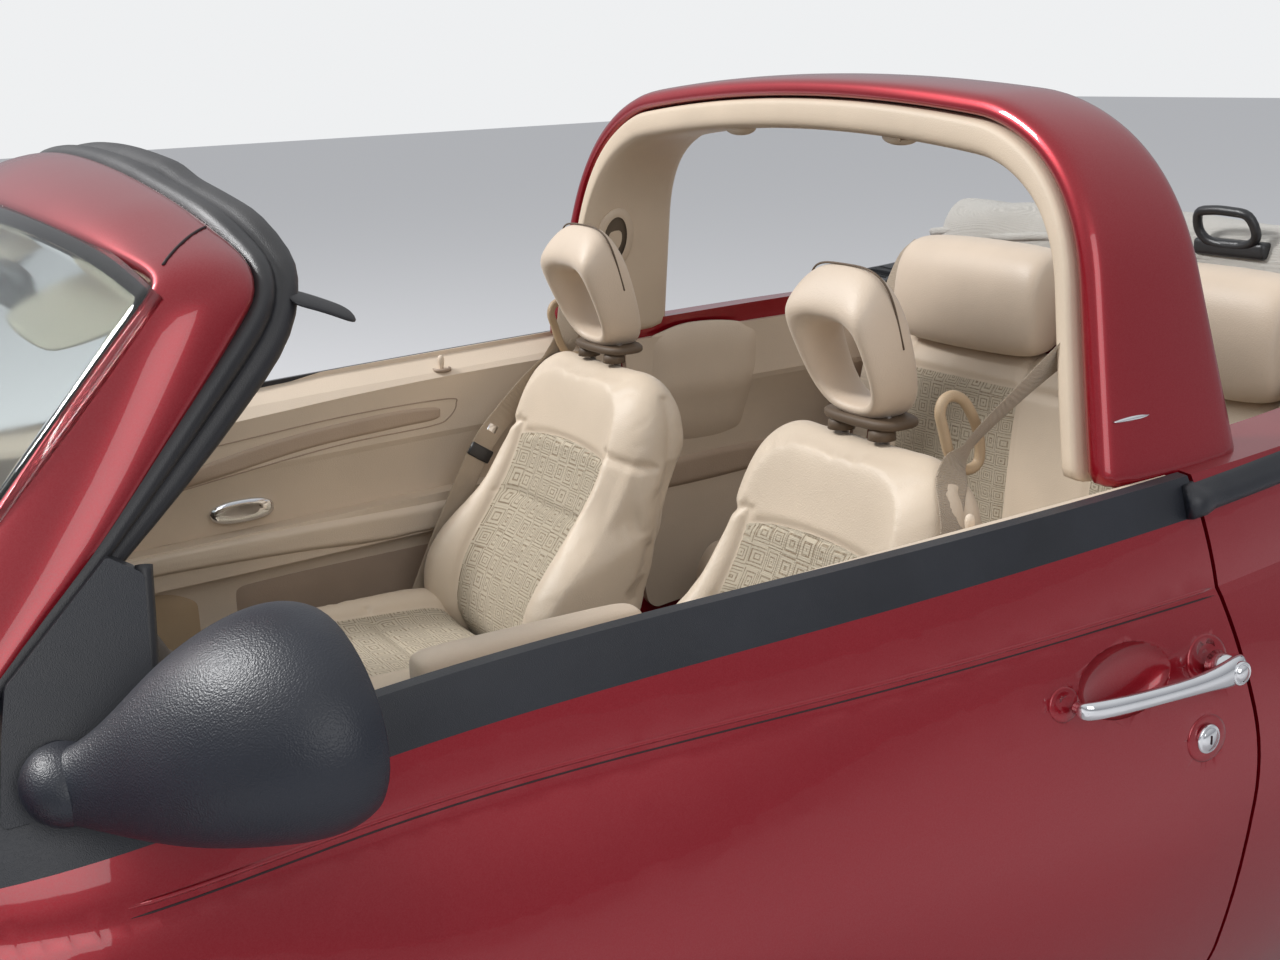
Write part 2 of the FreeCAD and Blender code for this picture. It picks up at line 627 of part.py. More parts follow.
cowl = cowl.cut(block(0, fender_rear, -FAR, FAR, 895, 2 * FAR))
cowl = cowl.fuse(hood_fixed).fuse(mirrored(hood_fixed))

lamp_y = 560
lamp_z = 675
lamp_radius = 96
lamp_solid = rod(V(1895, lamp_y, lamp_z), V(2050, lamp_y, lamp_z), lamp_radius)
lamp_solid = rounded(lamp_solid, 40, lambda e: e.BoundBox.XMin > 2049)
lamp_seat = rod(V(1700, lamp_y, lamp_z), V(2100, lamp_y, lamp_z), lamp_radius + seat_gap)
fenders = fenders.cut(lamp_seat).cut(mirrored(lamp_seat))
add("front_fenders", whole(fenders))
add("cowl", whole(cowl))
add("front_lamps", pair(lamp_solid))

TAIL_LAMP = [(560, 640, 40), (690, 640, 40), (690, 860, 40), (560, 860, 40)]
tail_lamp_zone = front_prism(TAIL_LAMP, -2 * FAR, -1900)
tail_lamp_seat = front_prism(TAIL_LAMP, -2 * FAR, -1900, seat_gap)
tail_lamp = outer.cut(body_loft(size("tail_wall"), 0, size("tail_wall")).common(
    block(body_rear + size("bulkhead"), 0, -FAR, FAR, 0, FAR))).common(tail_lamp_zone)

rear_shell = shell.cut(ahead_of_door(seat_gap))
rear_shell = rear_shell.fuse(lid_fixed).fuse(mirrored(lid_fixed)).fuse(flap_fixed)
well_box = block(-1570, size("cabin_rear") - size("bulkhead"), -590, 590, 940, 2 * FAR)
rear_shell = rear_shell.cut(well_box)
rear_shell = rear_shell.cut(tail_lamp_seat).cut(mirrored(tail_lamp_seat))
for pad_x in (760, -880):
    pad = block(pad_x - 40, pad_x + 40, 700, 745, 178, 215)
    rear_shell = rear_shell.fuse(pad).fuse(mirrored(pad))
add("body_shell", whole(rear_shell))
add("tail_lamps", pair(whole(tail_lamp)))
tray = block(-1570 + seat_gap, size("cabin_rear") - size("bulkhead") - seat_gap,
             -590 + seat_gap, 590 - seat_gap, 930, 1030)
tray = tray.cut(block(-1562, -1183, -582, 582, 938, 1100))
add("top_well", tray)

# Bumpers


def bumper_plan(tip, reach, half, inset):
    """Plan of a bumper from its tip back to the wheel arch, set in by inset."""
    way = 1 if tip > 0 else -1
    edge = half - inset
    end = tip - way * inset
    flat = Part.Arc(V(end - way * 90, edge - 230, 0), V(end, 0, 0), V(end - way * 90, 230 - edge, 0)).toShape()
    turn_one = Part.Arc(V(reach + way * 190, edge, 0), V(end - way * 185, edge - 105, 0),
                        V(end - way * 90, edge - 230, 0)).toShape()
    turn_two = Part.Arc(V(end - way * 90, 230 - edge, 0), V(end - way * 185, 105 - edge, 0),
                        V(reach + way * 190, -edge, 0)).toShape()
    return Part.Face(Part.Wire([
        Part.makeLine(V(reach, edge, 0), V(reach + way * 190, edge, 0)), turn_one, flat, turn_two,
        Part.makeLine(V(reach + way * 190, -edge, 0), V(reach, -edge, 0)),
        Part.makeLine(V(reach, -edge, 0), V(reach, edge, 0))]))


outlet = (V(-1560, -400, 215), V(-2100, -400, 190))
pipe_radius = 26
for name, tip, reach in (("front_bumper", nose, bumper_reach_front), ("rear_bumper", tail, bumper_reach_rear)):
    height = size("bumper_top") - size("bumper_bottom")
    cover = bumper_plan(tip, reach, 846, 0).extrude(V(0, 0, height))
    cover = rounded(cover, 28, lambda e: e.BoundBox.ZLength < 1 and e.BoundBox.XLength > 60
                    and abs(e.BoundBox.YMax) > 300)
    hollow = bumper_plan(tip, reach, 846, size("bumper_depth")).extrude(V(0, 0, height + 200))
    hollow.translate(V(0, 0, -100))
    cover = cover.cut(hollow)
    way = 1 if tip > 0 else -1
    cover = cover.cut(block(min(reach, reach - way * 5), max(reach, reach - way * 5), -FAR, FAR, -10, 900))
    cover.translate(V(0, 0, size("bumper_bottom")))
    if name == "front_bumper":
        slot = block(1800, 2 * FAR, -330, 330, 285, 385)
        cover = cover.cut(rounded(slot, 40, lambda e: e.BoundBox.XLength > 100))
    else:
        cover = cover.cut(rod(outlet[0], outlet[1] + (outlet[1] - outlet[0]), pipe_radius + gap))
    add(name, whole(cover))

# Grille

grille_frame = front_prism(GRILLE, body_front - 60, body_front + 22)
grille_hole = front_prism([(-300, grille_low + 22, 20), (300, grille_low + 22, 20), (280, grille_top - 22, 30),
                           (-280, grille_top - 22, 30)], body_front - 100, body_front + 100)
grille = grille_frame.cut(grille_hole)
for step in range(1, 5):
    level = grille_low + 22 + step * (grille_top - grille_low - 44) / 5
    grille = grille.fuse(block(body_front - 40, body_front + 6, -305, 305, level - 7, level + 7))
add("grille", whole(grille))

# Windscreen: plan arc carried up along the rake

rake = math.radians(size("screen_rake"))
screen_y = size("screen_side_y")
bow = size("screen_bow")
belt_level = size("belt_level")


def screen_slab(front_shift, rear_shift, half, from_z, to_z, growth=0):
    """Region between two copies of the windscreen's arc, shifted along the car; growth deepens it upwards."""
    def arc(shift, level, flip):
        x_side = size("screen_side_x") + shift - (level - belt_level) / math.tan(rake)
        radius = (screen_y ** 2 + bow ** 2) / (2 * bow)
        drop = radius - math.sqrt(radius ** 2 - half ** 2)
        x_mid = x_side + bow
        points = (V(x_mid - drop, half, level), V(x_mid, 0, level), V(x_mid - drop, -half, level))
        return Part.Arc(*(points[::-1] if flip else points)).toShape(), points
    wires = []
    for level, deeper in ((from_z, 0), (to_z, growth * (to_z - from_z))):
        one, ends_one = arc(front_shift, level, False)
        two, ends_two = arc(rear_shift - deeper, level, True)
        wires.append(Part.Wire([one, Part.makeLine(ends_one[2], ends_two[2]), two,
                                Part.makeLine(ends_two[0], ends_one[0])]))
    return Part.makeLoft(wires, True, True)


frame_low = 955
header_side = size("header_side")
header_y = pillar_foot_y - pillar_lean * (header_side - belt_level)


def arch_face(x, inset, low, crown, shoulder, foot_y, lean, radius):
    """Front-view arch: two leaning legs, rounded shoulders and a crowned top."""
    side_y = foot_y - inset - lean * (shoulder - inset - belt_level)
    low_y = foot_y - inset + lean * (belt_level - low)
    start = V(x, low_y, low)
    up = (V(x, side_y, shoulder - inset) - start).normalize()
    bend = V(x, side_y, shoulder - inset) - up * radius
    crown_y = side_y - radius
    rise = crown - shoulder
    crown_z = crown - inset - rise * (crown_y / side_y) ** 2 * 0.75
    edges = []
    left_mid = V(x, side_y - radius * 0.22, shoulder - inset - radius * 0.12)
    edges.append(Part.makeLine(start, bend))
    edges.append(quadratic(bend, V(x, side_y, shoulder - inset), V(x, crown_y, crown_z)))
    edges.append(Part.Arc(V(x, crown_y, crown_z), V(x, 0, crown - inset), V(x, -crown_y, crown_z)).toShape())
    edges.append(quadratic(V(x, -crown_y, crown_z), V(x, -side_y, shoulder - inset), V(x, -bend.y, bend.z)))
    edges.append(Part.makeLine(V(x, -bend.y, bend.z), V(x, -start.y, low)))
    edges.append(Part.makeLine(V(x, -start.y, low), start))
    return Part.Face(Part.Wire(edges))


pillar_width = size("pillar_width")
frame_outer = arch_face(0, 0, frame_low, size("header_top"), header_side, pillar_foot_y, pillar_lean, 90)
frame_inner = arch_face(0, pillar_width, frame_low - 10, size("header_top") + pillar_width - size("header_depth"),
                        header_side + pillar_width - size("header_depth"), pillar_foot_y, pillar_lean, 70)
frame_outer = frame_outer.extrude(V(2 * FAR, 0, 0))
frame_inner = frame_inner.extrude(V(2 * FAR, 0, 0))
growth = size("pillar_growth")
slab = screen_slab(0, -size("pillar_depth"), 860, frame_low, 1600, growth)
pillars = slab.common(frame_outer).cut(frame_inner)
header_low = 1275


def behind_screen(rear, bow):
    """Everything between the windscreen's surface and an arc across the car that ends at x = rear."""
    arc = Part.Arc(V(rear, 700, header_low), V(rear + bow, 0, header_low), V(rear, -700, header_low)).toShape()
    sides = Part.makePolygon([V(rear, -700, header_low), V(1500, -700, header_low), V(1500, 700, header_low),
                              V(rear, 700, header_low)])
    zone = Part.Face(Part.Wire([arc] + sides.Edges)).extrude(V(0, 0, 400))
    return zone.common(screen_slab(0, -900, 860, frame_low, 1600))


header_bow = 24
header_box = behind_screen(size("header_rear"), header_bow).common(frame_outer.cut(frame_inner))
screen_frame = pillars.fuse(header_box)
screen_frame = screen_frame.cut(outer.common(block(900, 2 * FAR, -FAR, FAR, 0, 2 * FAR)))
add("windscreen_frame", whole(screen_frame))

# Black seal behind the pillars and the header, inboard of the mirror's plate
seal_low = 1012
seal_hidden = sail_depth + 20
seal_start = size("pillar_depth") + seat_gap


def arch_ring(inset, depth):
    """Ring between the frame's outline, set in, and the frame's inner outline, set in by depth."""
    outside = arch_face(0, inset, frame_low, size("header_top"), header_side, pillar_foot_y, pillar_lean, 90)
    inside = arch_face(0, pillar_width + depth, frame_low - 10,
                       size("header_top") + pillar_width - size("header_depth"),
                       header_side + pillar_width - size("header_depth"), pillar_foot_y, pillar_lean, 70)
    return outside.extrude(V(2 * FAR, 0, 0)).cut(inside.extrude(V(2 * FAR, 0, 0)))


post_seal = screen_slab(0, -size("pillar_depth") - size("seal_depth"), 860, frame_low, 1600, growth)
post_seal = post_seal.cut(screen_slab(20, -seal_start, 860, frame_low, 1600, growth))
post_seal = post_seal.common(arch_ring(seal_hidden, 4)).common(block(0, FAR, -FAR, FAR, seal_low, 1600))
header_seal = behind_screen(size("seal_rear"), header_bow).common(arch_ring(size("seal_inset"), 0))
header_seal = header_seal.cut(behind_screen(size("header_rear") - seat_gap, header_bow))
header_seal = header_seal.fuse(post_seal).cut(screen_frame)
add("header_seal", whole(header_seal))
glass = screen_slab(-12, -12 - size("glass_thickness") / math.sin(rake), 800, frame_low, 1600)
glass_zone = arch_face(0, pillar_width + seat_gap, frame_low - 10,
                       size("header_top") + pillar_width - size("header_depth"),
                       header_side + pillar_width - size("header_depth"), pillar_foot_y, pillar_lean, 70)
glass = glass.common(glass_zone.extrude(V(2 * FAR, 0, 0)))
glass = glass.cut(body_loft(-0.3, -0.3, -0.3))
add("windscreen", whole(glass))

# Roll hoop

hoop_foot_y = 748
hoop_outer = arch_face(-800, 0, 1000, size("hoop_top"), 1440, hoop_foot_y, 0.26, 190)
hoop_inner = arch_face(-800, size("hoop_thickness"), 980, size("hoop_top"), 1440, hoop_foot_y, 0.26, 160)
hoop_mid = arch_face(-800, size("hoop_thickness") + seat_gap, 985, size("hoop_top"), 1440, hoop_foot_y, 0.26, 160)
lining_inner = arch_face(-800, size("hoop_thickness") + size("lining_thickness"), 980, size("hoop_top"), 1440,
                         hoop_foot_y, 0.26, 150)
HOOP_SIDE = [(-356, 1000, 0), (-612, 1000, 0), (-575, 1480, 20), (-575, 1600, 0), (-424, 1600, 0), (-424, 1480, 20)]
hoop_side = side_prism(HOOP_SIDE, -FAR, FAR)
hoop = hoop_outer.extrude(V(700, 0, 0)).cut(hoop_inner.extrude(V(700, 0, 0))).common(hoop_side)
hoop = hoop.cut(outer)
lining_side = side_prism(HOOP_SIDE, -FAR, FAR, -2)
lining = hoop_mid.extrude(V(700, 0, 0)).cut(lining_inner.extrude(V(700, 0, 0))).common(lining_side)
lining = lining.cut(outer)
add("roll_hoop", whole(hoop))
add("hoop_lining", whole(lining))

# Floor, tunnel and rear floor

plate = size("floor_thickness")
level = size("floor_level")
rear_level = size("rear_floor")
FLOOR_TOP = [(1045, 700), (1025, 480), (985, level + plate), (-560, level + plate), (-640, 330 + plate),
             (-1130, rear_level + plate)]
floor_side = [(x, z, 0) for x, z in FLOOR_TOP]
floor_side += [(x + (14 if x > 900 else 0), z - plate, 0) for x, z in FLOOR_TOP[::-1]]
floor = side_prism(floor_side, -FAR, FAR).common(cabin_inside)
tunnel = front_prism([(-130, level, 0), (130, level, 0), (95, level + 150, 30), (-95, level + 150, 30)], -600, 925)
tunnel = tunnel.cut(front_prism([(-112, level - 10, 0), (112, level - 10, 0), (79, level + 132, 25),
                                 (-79, level + 132, 25)], -700, 1000))
trunk_floor = plan_prism([(-1130, -600.5, 0), (-1130, 600.5, 0), (-1870, 600.5, 0), (-1985, 490, 0),
                          (-1985, -490, 0), (-1870, -600.5, 0)], rear_level, rear_level + plate)
floor = floor.fuse(tunnel).fuse(trunk_floor)
floor = floor.cut(block(-600, 925, -112, 112, level - 5, level + plate + 1)).fuse(tunnel)
for room in liner_rooms:
    floor = floor.cut(room)
floor = floor.cut(shell)
add("floor_pan", whole(floor))

# Wheel arch liners with strut turrets

liner_radius = arch_radius
inside_fender = body_loft(size("panel") + 1, open_below, size("panel") + 1)
liners = []
lean = math.tan(math.radians(size("kingpin_lean")))
kingpin_y = wheel_y - size("kingpin_offset")


def kingpin(z):
    """Point of the left steering axis at height z."""
    return V(front_axle, kingpin_y - lean * (z - axle_height), z)


for axle_x, inner in ((front_axle, size("front_well")), (rear_axle, size("rear_well"))):
    drum = well(axle_x, inner - thick, liner_radius + thick, LEFT)
    drum = drum.common(block(axle_x - 500, axle_x + 500, 0, 770 if axle_x < 0 else FAR, axle_height - 60, FAR))
    space = well(axle_x, inner, liner_radius + 0.3, LEFT)
    liner = drum.cut(space)
    if axle_x > 0:
        turret = rod(kingpin(655), kingpin(size("strut_top") + 15), 62)
        bore = rod(kingpin(600), kingpin(size("strut_top")), 57)
        liner = liner.fuse(turret.cut(space)).cut(bore)
    else:
        liner = liner.cut(rod(V(axle_x, 500, axle_height), V(axle_x, 700, axle_height), stub_radius + seat_gap))
    liner = liner.common(inside_fender)
    liner = liner.cut(shell).cut(floor)
    liners.append(liner)
    liners.append(mirrored(liner))
sliver = 1e5
add("wheel_liners", Part.makeCompound([s for item in liners for s in whole(item).Solids if s.Volume > sliver]))

# Wheels

tread = size("tyre_radius")
half_tyre = size("tyre_width") / 2
bead = size("rim_radius")
lip = size("rim_lip")
TYRE = [
    (half_tyre - 22, bead + 1, 0), (half_tyre - 12, bead + 1, 8), (half_tyre, bead + 48, 40),
    (half_tyre - 6, tread - 8, 14), (half_tyre - 28, tread, 40), (28 - half_tyre, tread, 40),
    (6 - half_tyre, tread - 8, 14), (-half_tyre, bead + 48, 40), (12 - half_tyre, bead + 1, 8),
    (22 - half_tyre, bead + 1, 0), (26 - half_tyre, bead + 14, 6), (26 - half_tyre, tread - 16, 20),
    (half_tyre - 26, tread - 16, 20), (half_tyre - 26, bead + 14, 6),
]
tyre = Part.Face(outline(TYRE, lambda a, b: V(0, a, b))).revolve(V(0, 0, 0), V(0, 1, 0), 360)
RIM = [
    (half_tyre - 10, bead + lip, 2), (half_tyre - 18, bead + lip, 2), (half_tyre - 22, bead, 3),
    (40, bead - 2, 20), (20, bead - 24, 10), (-40, bead - 24, 20), (22 - half_tyre, bead, 3),
    (18 - half_tyre, bead + lip, 2), (10 - half_tyre, bead + lip, 2), (12 - half_tyre, bead - 8, 8),
    (-45, bead - 32, 10), (30, bead - 32, 10), (50, bead - 12, 8), (half_tyre - 12, bead - 8, 4),
]
barrel = Part.Face(outline(RIM, lambda a, b: V(0, a, b))).revolve(V(0, 0, 0), V(0, 1, 0), 360)
face_y = size("rim_offset")
hub = rod(V(0, face_y - 6, 0), V(0, face_y + 34, 0), size("hub_radius"))
spoke = side_prism([(-size("spoke_width") / 2, 20, 0), (size("spoke_width") / 2, 20, 0),
                    (size("spoke_width") / 2 - 8, bead - 6, 0), (8 - size("spoke_width") / 2, bead - 6, 0)],
                   face_y - 2, face_y - 2 + size("spoke_depth"))
tyre = tyre.cut(barrel)
rim = barrel.fuse(hub)
for number in range(5):
    turned = spoke.copy()
    turned.rotate(V(0, 0, 0), V(0, 1, 0), number * 72)
    rim = rim.fuse(turned)
disc = rod(V(0, face_y - 6 - size("disc_thickness"), 0), V(0, face_y - 6, 0), size("disc_radius"))
rim = rim.fuse(disc)
rim = whole(rim)
for end, axle_x in (("front", front_axle), ("rear", rear_axle)):
    for name, side in SIDES:
        place = V(axle_x, side * wheel_y, axle_height)
        one = sided(tyre, side)
        two = sided(rim, side)
        one.translate(place)
        two.translate(place)
        add("tyre_%s_%s" % (end, name), one)
        add("rim_%s_%s" % (end, name), two)

# Knuckles, subframe and rear axle

hub_face = wheel_y + face_y - 6 - size("disc_thickness") - size("axle_gap")
hub_part = rod(V(front_axle, 632, axle_height), V(front_axle, hub_face, axle_height), 46)
strut = rod(kingpin(axle_height + 40), kingpin(size("strut_top") - seat_gap), size("strut_radius"))
ball = kingpin(200)
lower = rod(ball, kingpin(axle_height + 60), 20)
knuckle = hub_part.fuse(strut).fuse(lower)
socket_gap = 1
knuckle = knuckle.cut(Part.makeSphere(14 + socket_gap, ball))
for name, side in SIDES:
    add("knuckle_%s" % name, sided(whole(knuckle), side))
arm = rod(V(front_axle - 40, 330, 205), V(front_axle, ball.y, 186), 14)
arm = arm.fuse(rod(V(front_axle, ball.y, 180), ball, 9))
arm = arm.cut(rod(kingpin(200 - socket_gap), kingpin(axle_height + 60), 20 + socket_gap))
arm = arm.fuse(Part.makeSphere(14, ball))
cross = block(front_axle - 110, front_axle + 110, -345, 345, 185, 225)
cross = cross.fuse(arm).fuse(mirrored(arm))
rails = block(1002, front_axle + 600, 350, 400, 250, 330)
post = block(front_axle - 60, front_axle + 60, size("engine_width") / 2 + seat_gap, 400, 215, 260)
cross = cross.fuse(rails).fuse(mirrored(rails)).fuse(post).fuse(mirrored(post))
cross = cross.cut(floor).cut(shell)
add("front_subframe", whole(cross))

beam = rod(V(rear_axle + 30, -590, axle_height - 20), V(rear_axle + 30, 590, axle_height - 20), 38)
stub = rod(V(rear_axle, 560, axle_height), V(rear_axle, hub_face, axle_height), stub_radius)
trailing = block(rear_axle - 20, rear_axle + 380, 535, 575, axle_height - 40, axle_height + 10)
beam = beam.fuse(stub).fuse(mirrored(stub)).fuse(trailing).fuse(mirrored(trailing))
add("rear_axle", whole(beam))

# Engine and exhaust

engine = doc.addObject("Part::Box", "engine")
engine.Label = "engine"
engine.setExpression("Length", "Sizes.engine_length")
engine.setExpression("Width", "Sizes.engine_width")
engine.setExpression("Height", "Sizes.engine_height")
engine.Placement.Base = V(front_axle - 80, -size("engine_width") / 2, 225 + seat_gap)
parts.append(engine)
pipe = rod(V(1050, -60, 180), V(-1500, -60, 180), 26)
muffler_x = -1560
muffler_z = 240
muffler = rod(V(muffler_x, -420, muffler_z), V(muffler_x, 160, muffler_z), 90)
outlet = rod(outlet[0], outlet[1], pipe_radius)
hangers = []
for hanger_y in (-330, 80):
    hangers.append(rod(V(muffler_x, hanger_y, muffler_z + 60), V(muffler_x, hanger_y, rear_level - seat_gap), 7))
exhaust = pipe.fuse(hangers).fuse(rod(V(-1495, -60, 180), V(-1560, -60, 240), 26)).fuse(muffler).fuse(outlet)
add("exhaust", whole(exhaust))

# Seats

seat_half = size("seat_width") / 2
seat_y = size("seat_y")
back_half = seat_half - 10
bolster = 74
CUSHION_SIDE = [(-95, 430, 20), (430, 430, 30), (446, 560, 40), (385, 612, 60), (60, 600, 80), (-60, 600, 30)]
CUSHION_MID = [(-95, 430, 20), (430, 430, 30), (442, 545, 40), (380, 585, 60), (160, 556, 120), (-60, 552, 30)]
BACK_SIDE = [(-110, 470, 30), (10, 470, 40), (28, 640, 50), (-49, 716, 120), (-160, 834, 300), (-200, 935, 200),
             (-244, 1038, 26), (-308, 1036, 24), (-325, 975, 30), (-299, 880, 200), (-200, 520, 50)]
BACK_MID = [(-110, 470, 30), (-20, 470, 40), (-50, 640, 60), (-120, 716, 120), (-192, 834, 300), (-218, 935, 200),
            (-244, 1040, 24), (-308, 1038, 24), (-325, 975, 30), (-299, 880, 200), (-200, 520, 50)]
HEAD = [(-262, 1046, 10), (-186, 1222, 40), (-214, 1264, 30), (-276, 1264, 36), (-332, 1046, 10)]
head_half = 90
cushion = side_prism(CUSHION_SIDE, seat_y - seat_half, seat_y + seat_half)
cushion = cushion.cut(block(-FAR, FAR, seat_y - seat_half + bolster, seat_y + seat_half - bolster, 0, FAR))
cushion = cushion.fuse(side_prism(CUSHION_MID, seat_y - seat_half + bolster, seat_y + seat_half - bolster))
back = side_prism(BACK_SIDE, seat_y - back_half, seat_y + back_half)
back = back.cut(block(-FAR, FAR, seat_y - back_half + bolster, seat_y + back_half - bolster, 0, 2 * FAR))
back = back.fuse(side_prism(BACK_MID, seat_y - back_half + bolster, seat_y + back_half - bolster))
shoulders = front_prism([(seat_y - back_half, 400, 0), (seat_y + back_half, 400, 0), (seat_y + back_half, 1040, 80),
                         (seat_y - back_half, 1040, 80)], -FAR, FAR)
back = back.common(shoulders)
back_room = side_prism(BACK_SIDE, seat_y - seat_half, seat_y + seat_half, seat_gap)
cushion = cushion.cut(back_room)
head = side_prism(HEAD, seat_y - head_half, seat_y + head_half)
head = head.common(front_prism([(seat_y - head_half, 1040, 10), (seat_y + head_half, 1040, 10),
                                (seat_y + head_half, 1268, 75), (seat_y - head_half, 1268, 75)], -FAR, FAR))
head_hole = front_prism([(seat_y - 66, 1068, 16), (seat_y + 66, 1068, 16), (seat_y + 60, 1188, 52),
                         (seat_y - 60, 1188, 52)], -FAR, FAR)
head = head.cut(head_hole)
for post_y in (seat_y - 50, seat_y + 50):
    head = head.fuse(rod(V(-288, post_y, 1020), V(-280, post_y, 1062), 6))
head = head.cut(back.common(block(-FAR, FAR, 0, FAR, 1000, 1100)))
base = block(-80, 400, size("seat_y") - 220, size("seat_y") + 220, 320, 430 - seat_gap)
rails = block(-100, 420, size("seat_y") - 215, size("seat_y") - 175, level + plate + seat_gap, 321)
base = base.fuse(rails)
rails2 = block(-100, 420, size("seat_y") + 175, size("seat_y") + 215, level + plate + seat_gap, 321)
base = base.fuse(rails2)
add("front_seat_cushions", pair(whole(cushion)))
add("front_seat_backs", pair(whole(back)))
add("front_headrests", pair(whole(head)))
add("seat_bases", pair(whole(base)))
arm_rest = side_prism([(-70, 688, 16), (-50, 744, 20), (250, 740, 40), (318, 716, 18), (306, 686, 14), (0, 678, 60)],
                      62, seat_y - back_half - seat_gap)
arm_rest = arm_rest.common(front_prism([(62, 660, 0), (seat_y, 660, 0), (seat_y, 750, 0), (62, 743, 16)], -FAR, FAR))
add("armrest", arm_rest)
back_wall = size("cabin_rear") + seat_gap


def rear_floor_top(x):
    """Top of the sloping rear floor, with the seat gap."""
    (x_low, z_low), (x_high, z_high) = FLOOR_TOP[-2:]
    return z_low + (x - x_low) * (z_high - z_low) / (x_high - x_low) + seat_gap


REAR_CUSHION = [(-560, 372, 30), (-650, rear_floor_top(-650), 0), (-1040, rear_floor_top(-1040), 0),
                (-1040, 590, 40), (-540, 600, 60)]
REAR_BACK = [(-1045, rear_floor_top(-1045), 0), (-1128, rear_floor_top(-1128), 0),
             (back_wall, rear_level + plate + seat_gap, 0), (back_wall, 1020, 30), (-1078, 1050, 30), (-985, 600, 60)]
REAR_HEAD = [(-1075, 1000, 0), (-1140, 1000, 0), (-1146, 1150, 30), (-1120, 1180, 24), (-1060, 1170, 30)]
rear_cushion = side_prism(REAR_CUSHION, -600, 600).cut(side_prism(REAR_BACK, -FAR, FAR, seat_gap)).cut(floor)
rear_back = side_prism(REAR_BACK, -560, 560)
rear_head = side_prism(REAR_HEAD, 150, 490)
rear_head = rear_head.common(front_prism([(150, 900, 0), (490, 900, 0), (490, 1185, 60), (150, 1185, 60)], -FAR, 0))
rear_back = rear_back.fuse(rear_head).fuse(mirrored(rear_head))
for room in liner_rooms:
    rear_cushion = rear_cushion.cut(room)
add("rear_seat_cushion", whole(rear_cushion))
add("rear_seat_back", whole(rear_back))

# Dashboard with column, console, steering wheel

DASH = [(1052, 1005, 20), (1052, 640, 30), (860, 520, 40), (800, 640, 40), (790, 930, 60), (840, 1008, 40)]
dash = side_prism(DASH, -640, 640)
dash = dash.common(cabin_void)
steer_lean = math.radians(size("steering_lean"))
column_way = V(math.cos(steer_lean), 0, -math.sin(steer_lean))
wheel_middle = V(size("steering_x"), size("seat_y"), size("steering_z"))
column = rod(wheel_middle + column_way * (38 + seat_gap), wheel_middle + column_way * 200, 42)
dash = dash.fuse(column).cut(floor)
add("dashboard", whole(dash))
console = side_prism([(850, level + plate + 120, 0), (780, 520, 60), (420, 470, 60), (-120, 500, 30),
                      (-120, level + plate + 120, 0)], -85, 85).cut(floor).cut(dash)
add("console", whole(console))
grip = Part.makeTorus(size("steering_radius"), size("steering_grip"), V(0, 0, 0), V(0, 0, 1))
boss = Part.makeCylinder(72, 50, V(0, 0, -38))
bars = []
for angle in (0, 75, 180, 285):
    bar = Part.makeBox(size("steering_radius") - 50, 34, 14, V(50, -17, -16))
    bar.rotate(V(0, 0, 0), V(0, 0, 1), angle)
    bars.append(bar)
steering = boss.fuse(grip)
for bar in bars:
    steering = steering.fuse(bar)
steering.rotate(V(0, 0, 0), V(0, 1, 0), -(90 - size("steering_lean")))
steering.translate(wheel_middle)
add("steering_wheel", whole(steering))

# Folded top and rear side trim

STACK = [(-1195, 945, 30), (-1190, 1130, 40), (-1196, 1225, 40), (-1290, 1245, 60), (-1560, 1165, 50),
         (-1600, 1075, 20), (-1555, 1060, 0), (-1555, 945, 20)]
stack = side_prism(STACK, -572, 572)
stack = rounded(stack, 22, lambda e: abs(e.BoundBox.YMax - e.BoundBox.YMin) < 1 and e.BoundBox.ZMin > 1080)
stack = stack.cut(outer.common(block(-1700, -1571, -FAR, FAR, 0, FAR))).cut(rear_shell).cut(tray)
add("folded_top", whole(stack))

# Linkage rails of the folded top, one each side
LINK = [(-1052, 1018, 8), (-1068, 1046, 8), (-1160, 1086, 30), (-1272, 1140, 30), (-1396, 1206, 8), (-1408, 1184, 8),
        (-1280, 1116, 30), (-1166, 1062, 30)]
link = side_prism(LINK, 572 + seat_gap, 584)
add("top_linkage", pair(link))

# Seat belts: from the hoop over the guide loop on the seat's shoulder and down beside the seat
belt_half = 23
strap_side_y = 618.5
STRAP = [(-214, 905), (-150, 838), (-104, 761), (-36, 636), (34, 480), (70, 330)]
strap_side = [(x + belt_half, z + 10, 0) for x, z in STRAP] + [(x - belt_half, z - 10, 0) for x, z in STRAP[::-1]]
strap = side_prism(strap_side, strap_side_y, strap_side_y + 2)
add("seat_belts", pair(strap))
side_trim = body_loft(wall + seat_gap, open_below, open_above).cut(body_loft(wall + 16, open_below, open_above))
side_trim = side_trim.common(side_prism([(-570, 380, 30), (-1140, 440, 10), (-1140, 1010, 30), (-500, 985, 20)],
                                        100, FAR))
side_trim = side_trim.cut(well(rear_axle, 400, arch_radius + thick + seat_gap, LEFT)).cut(rear_back)
side_trim = side_trim.cut(rear_cushion)
side_trim = side_trim.cut(floor)
add("rear_side_trim", pair(whole(side_trim)))

# Checks and export

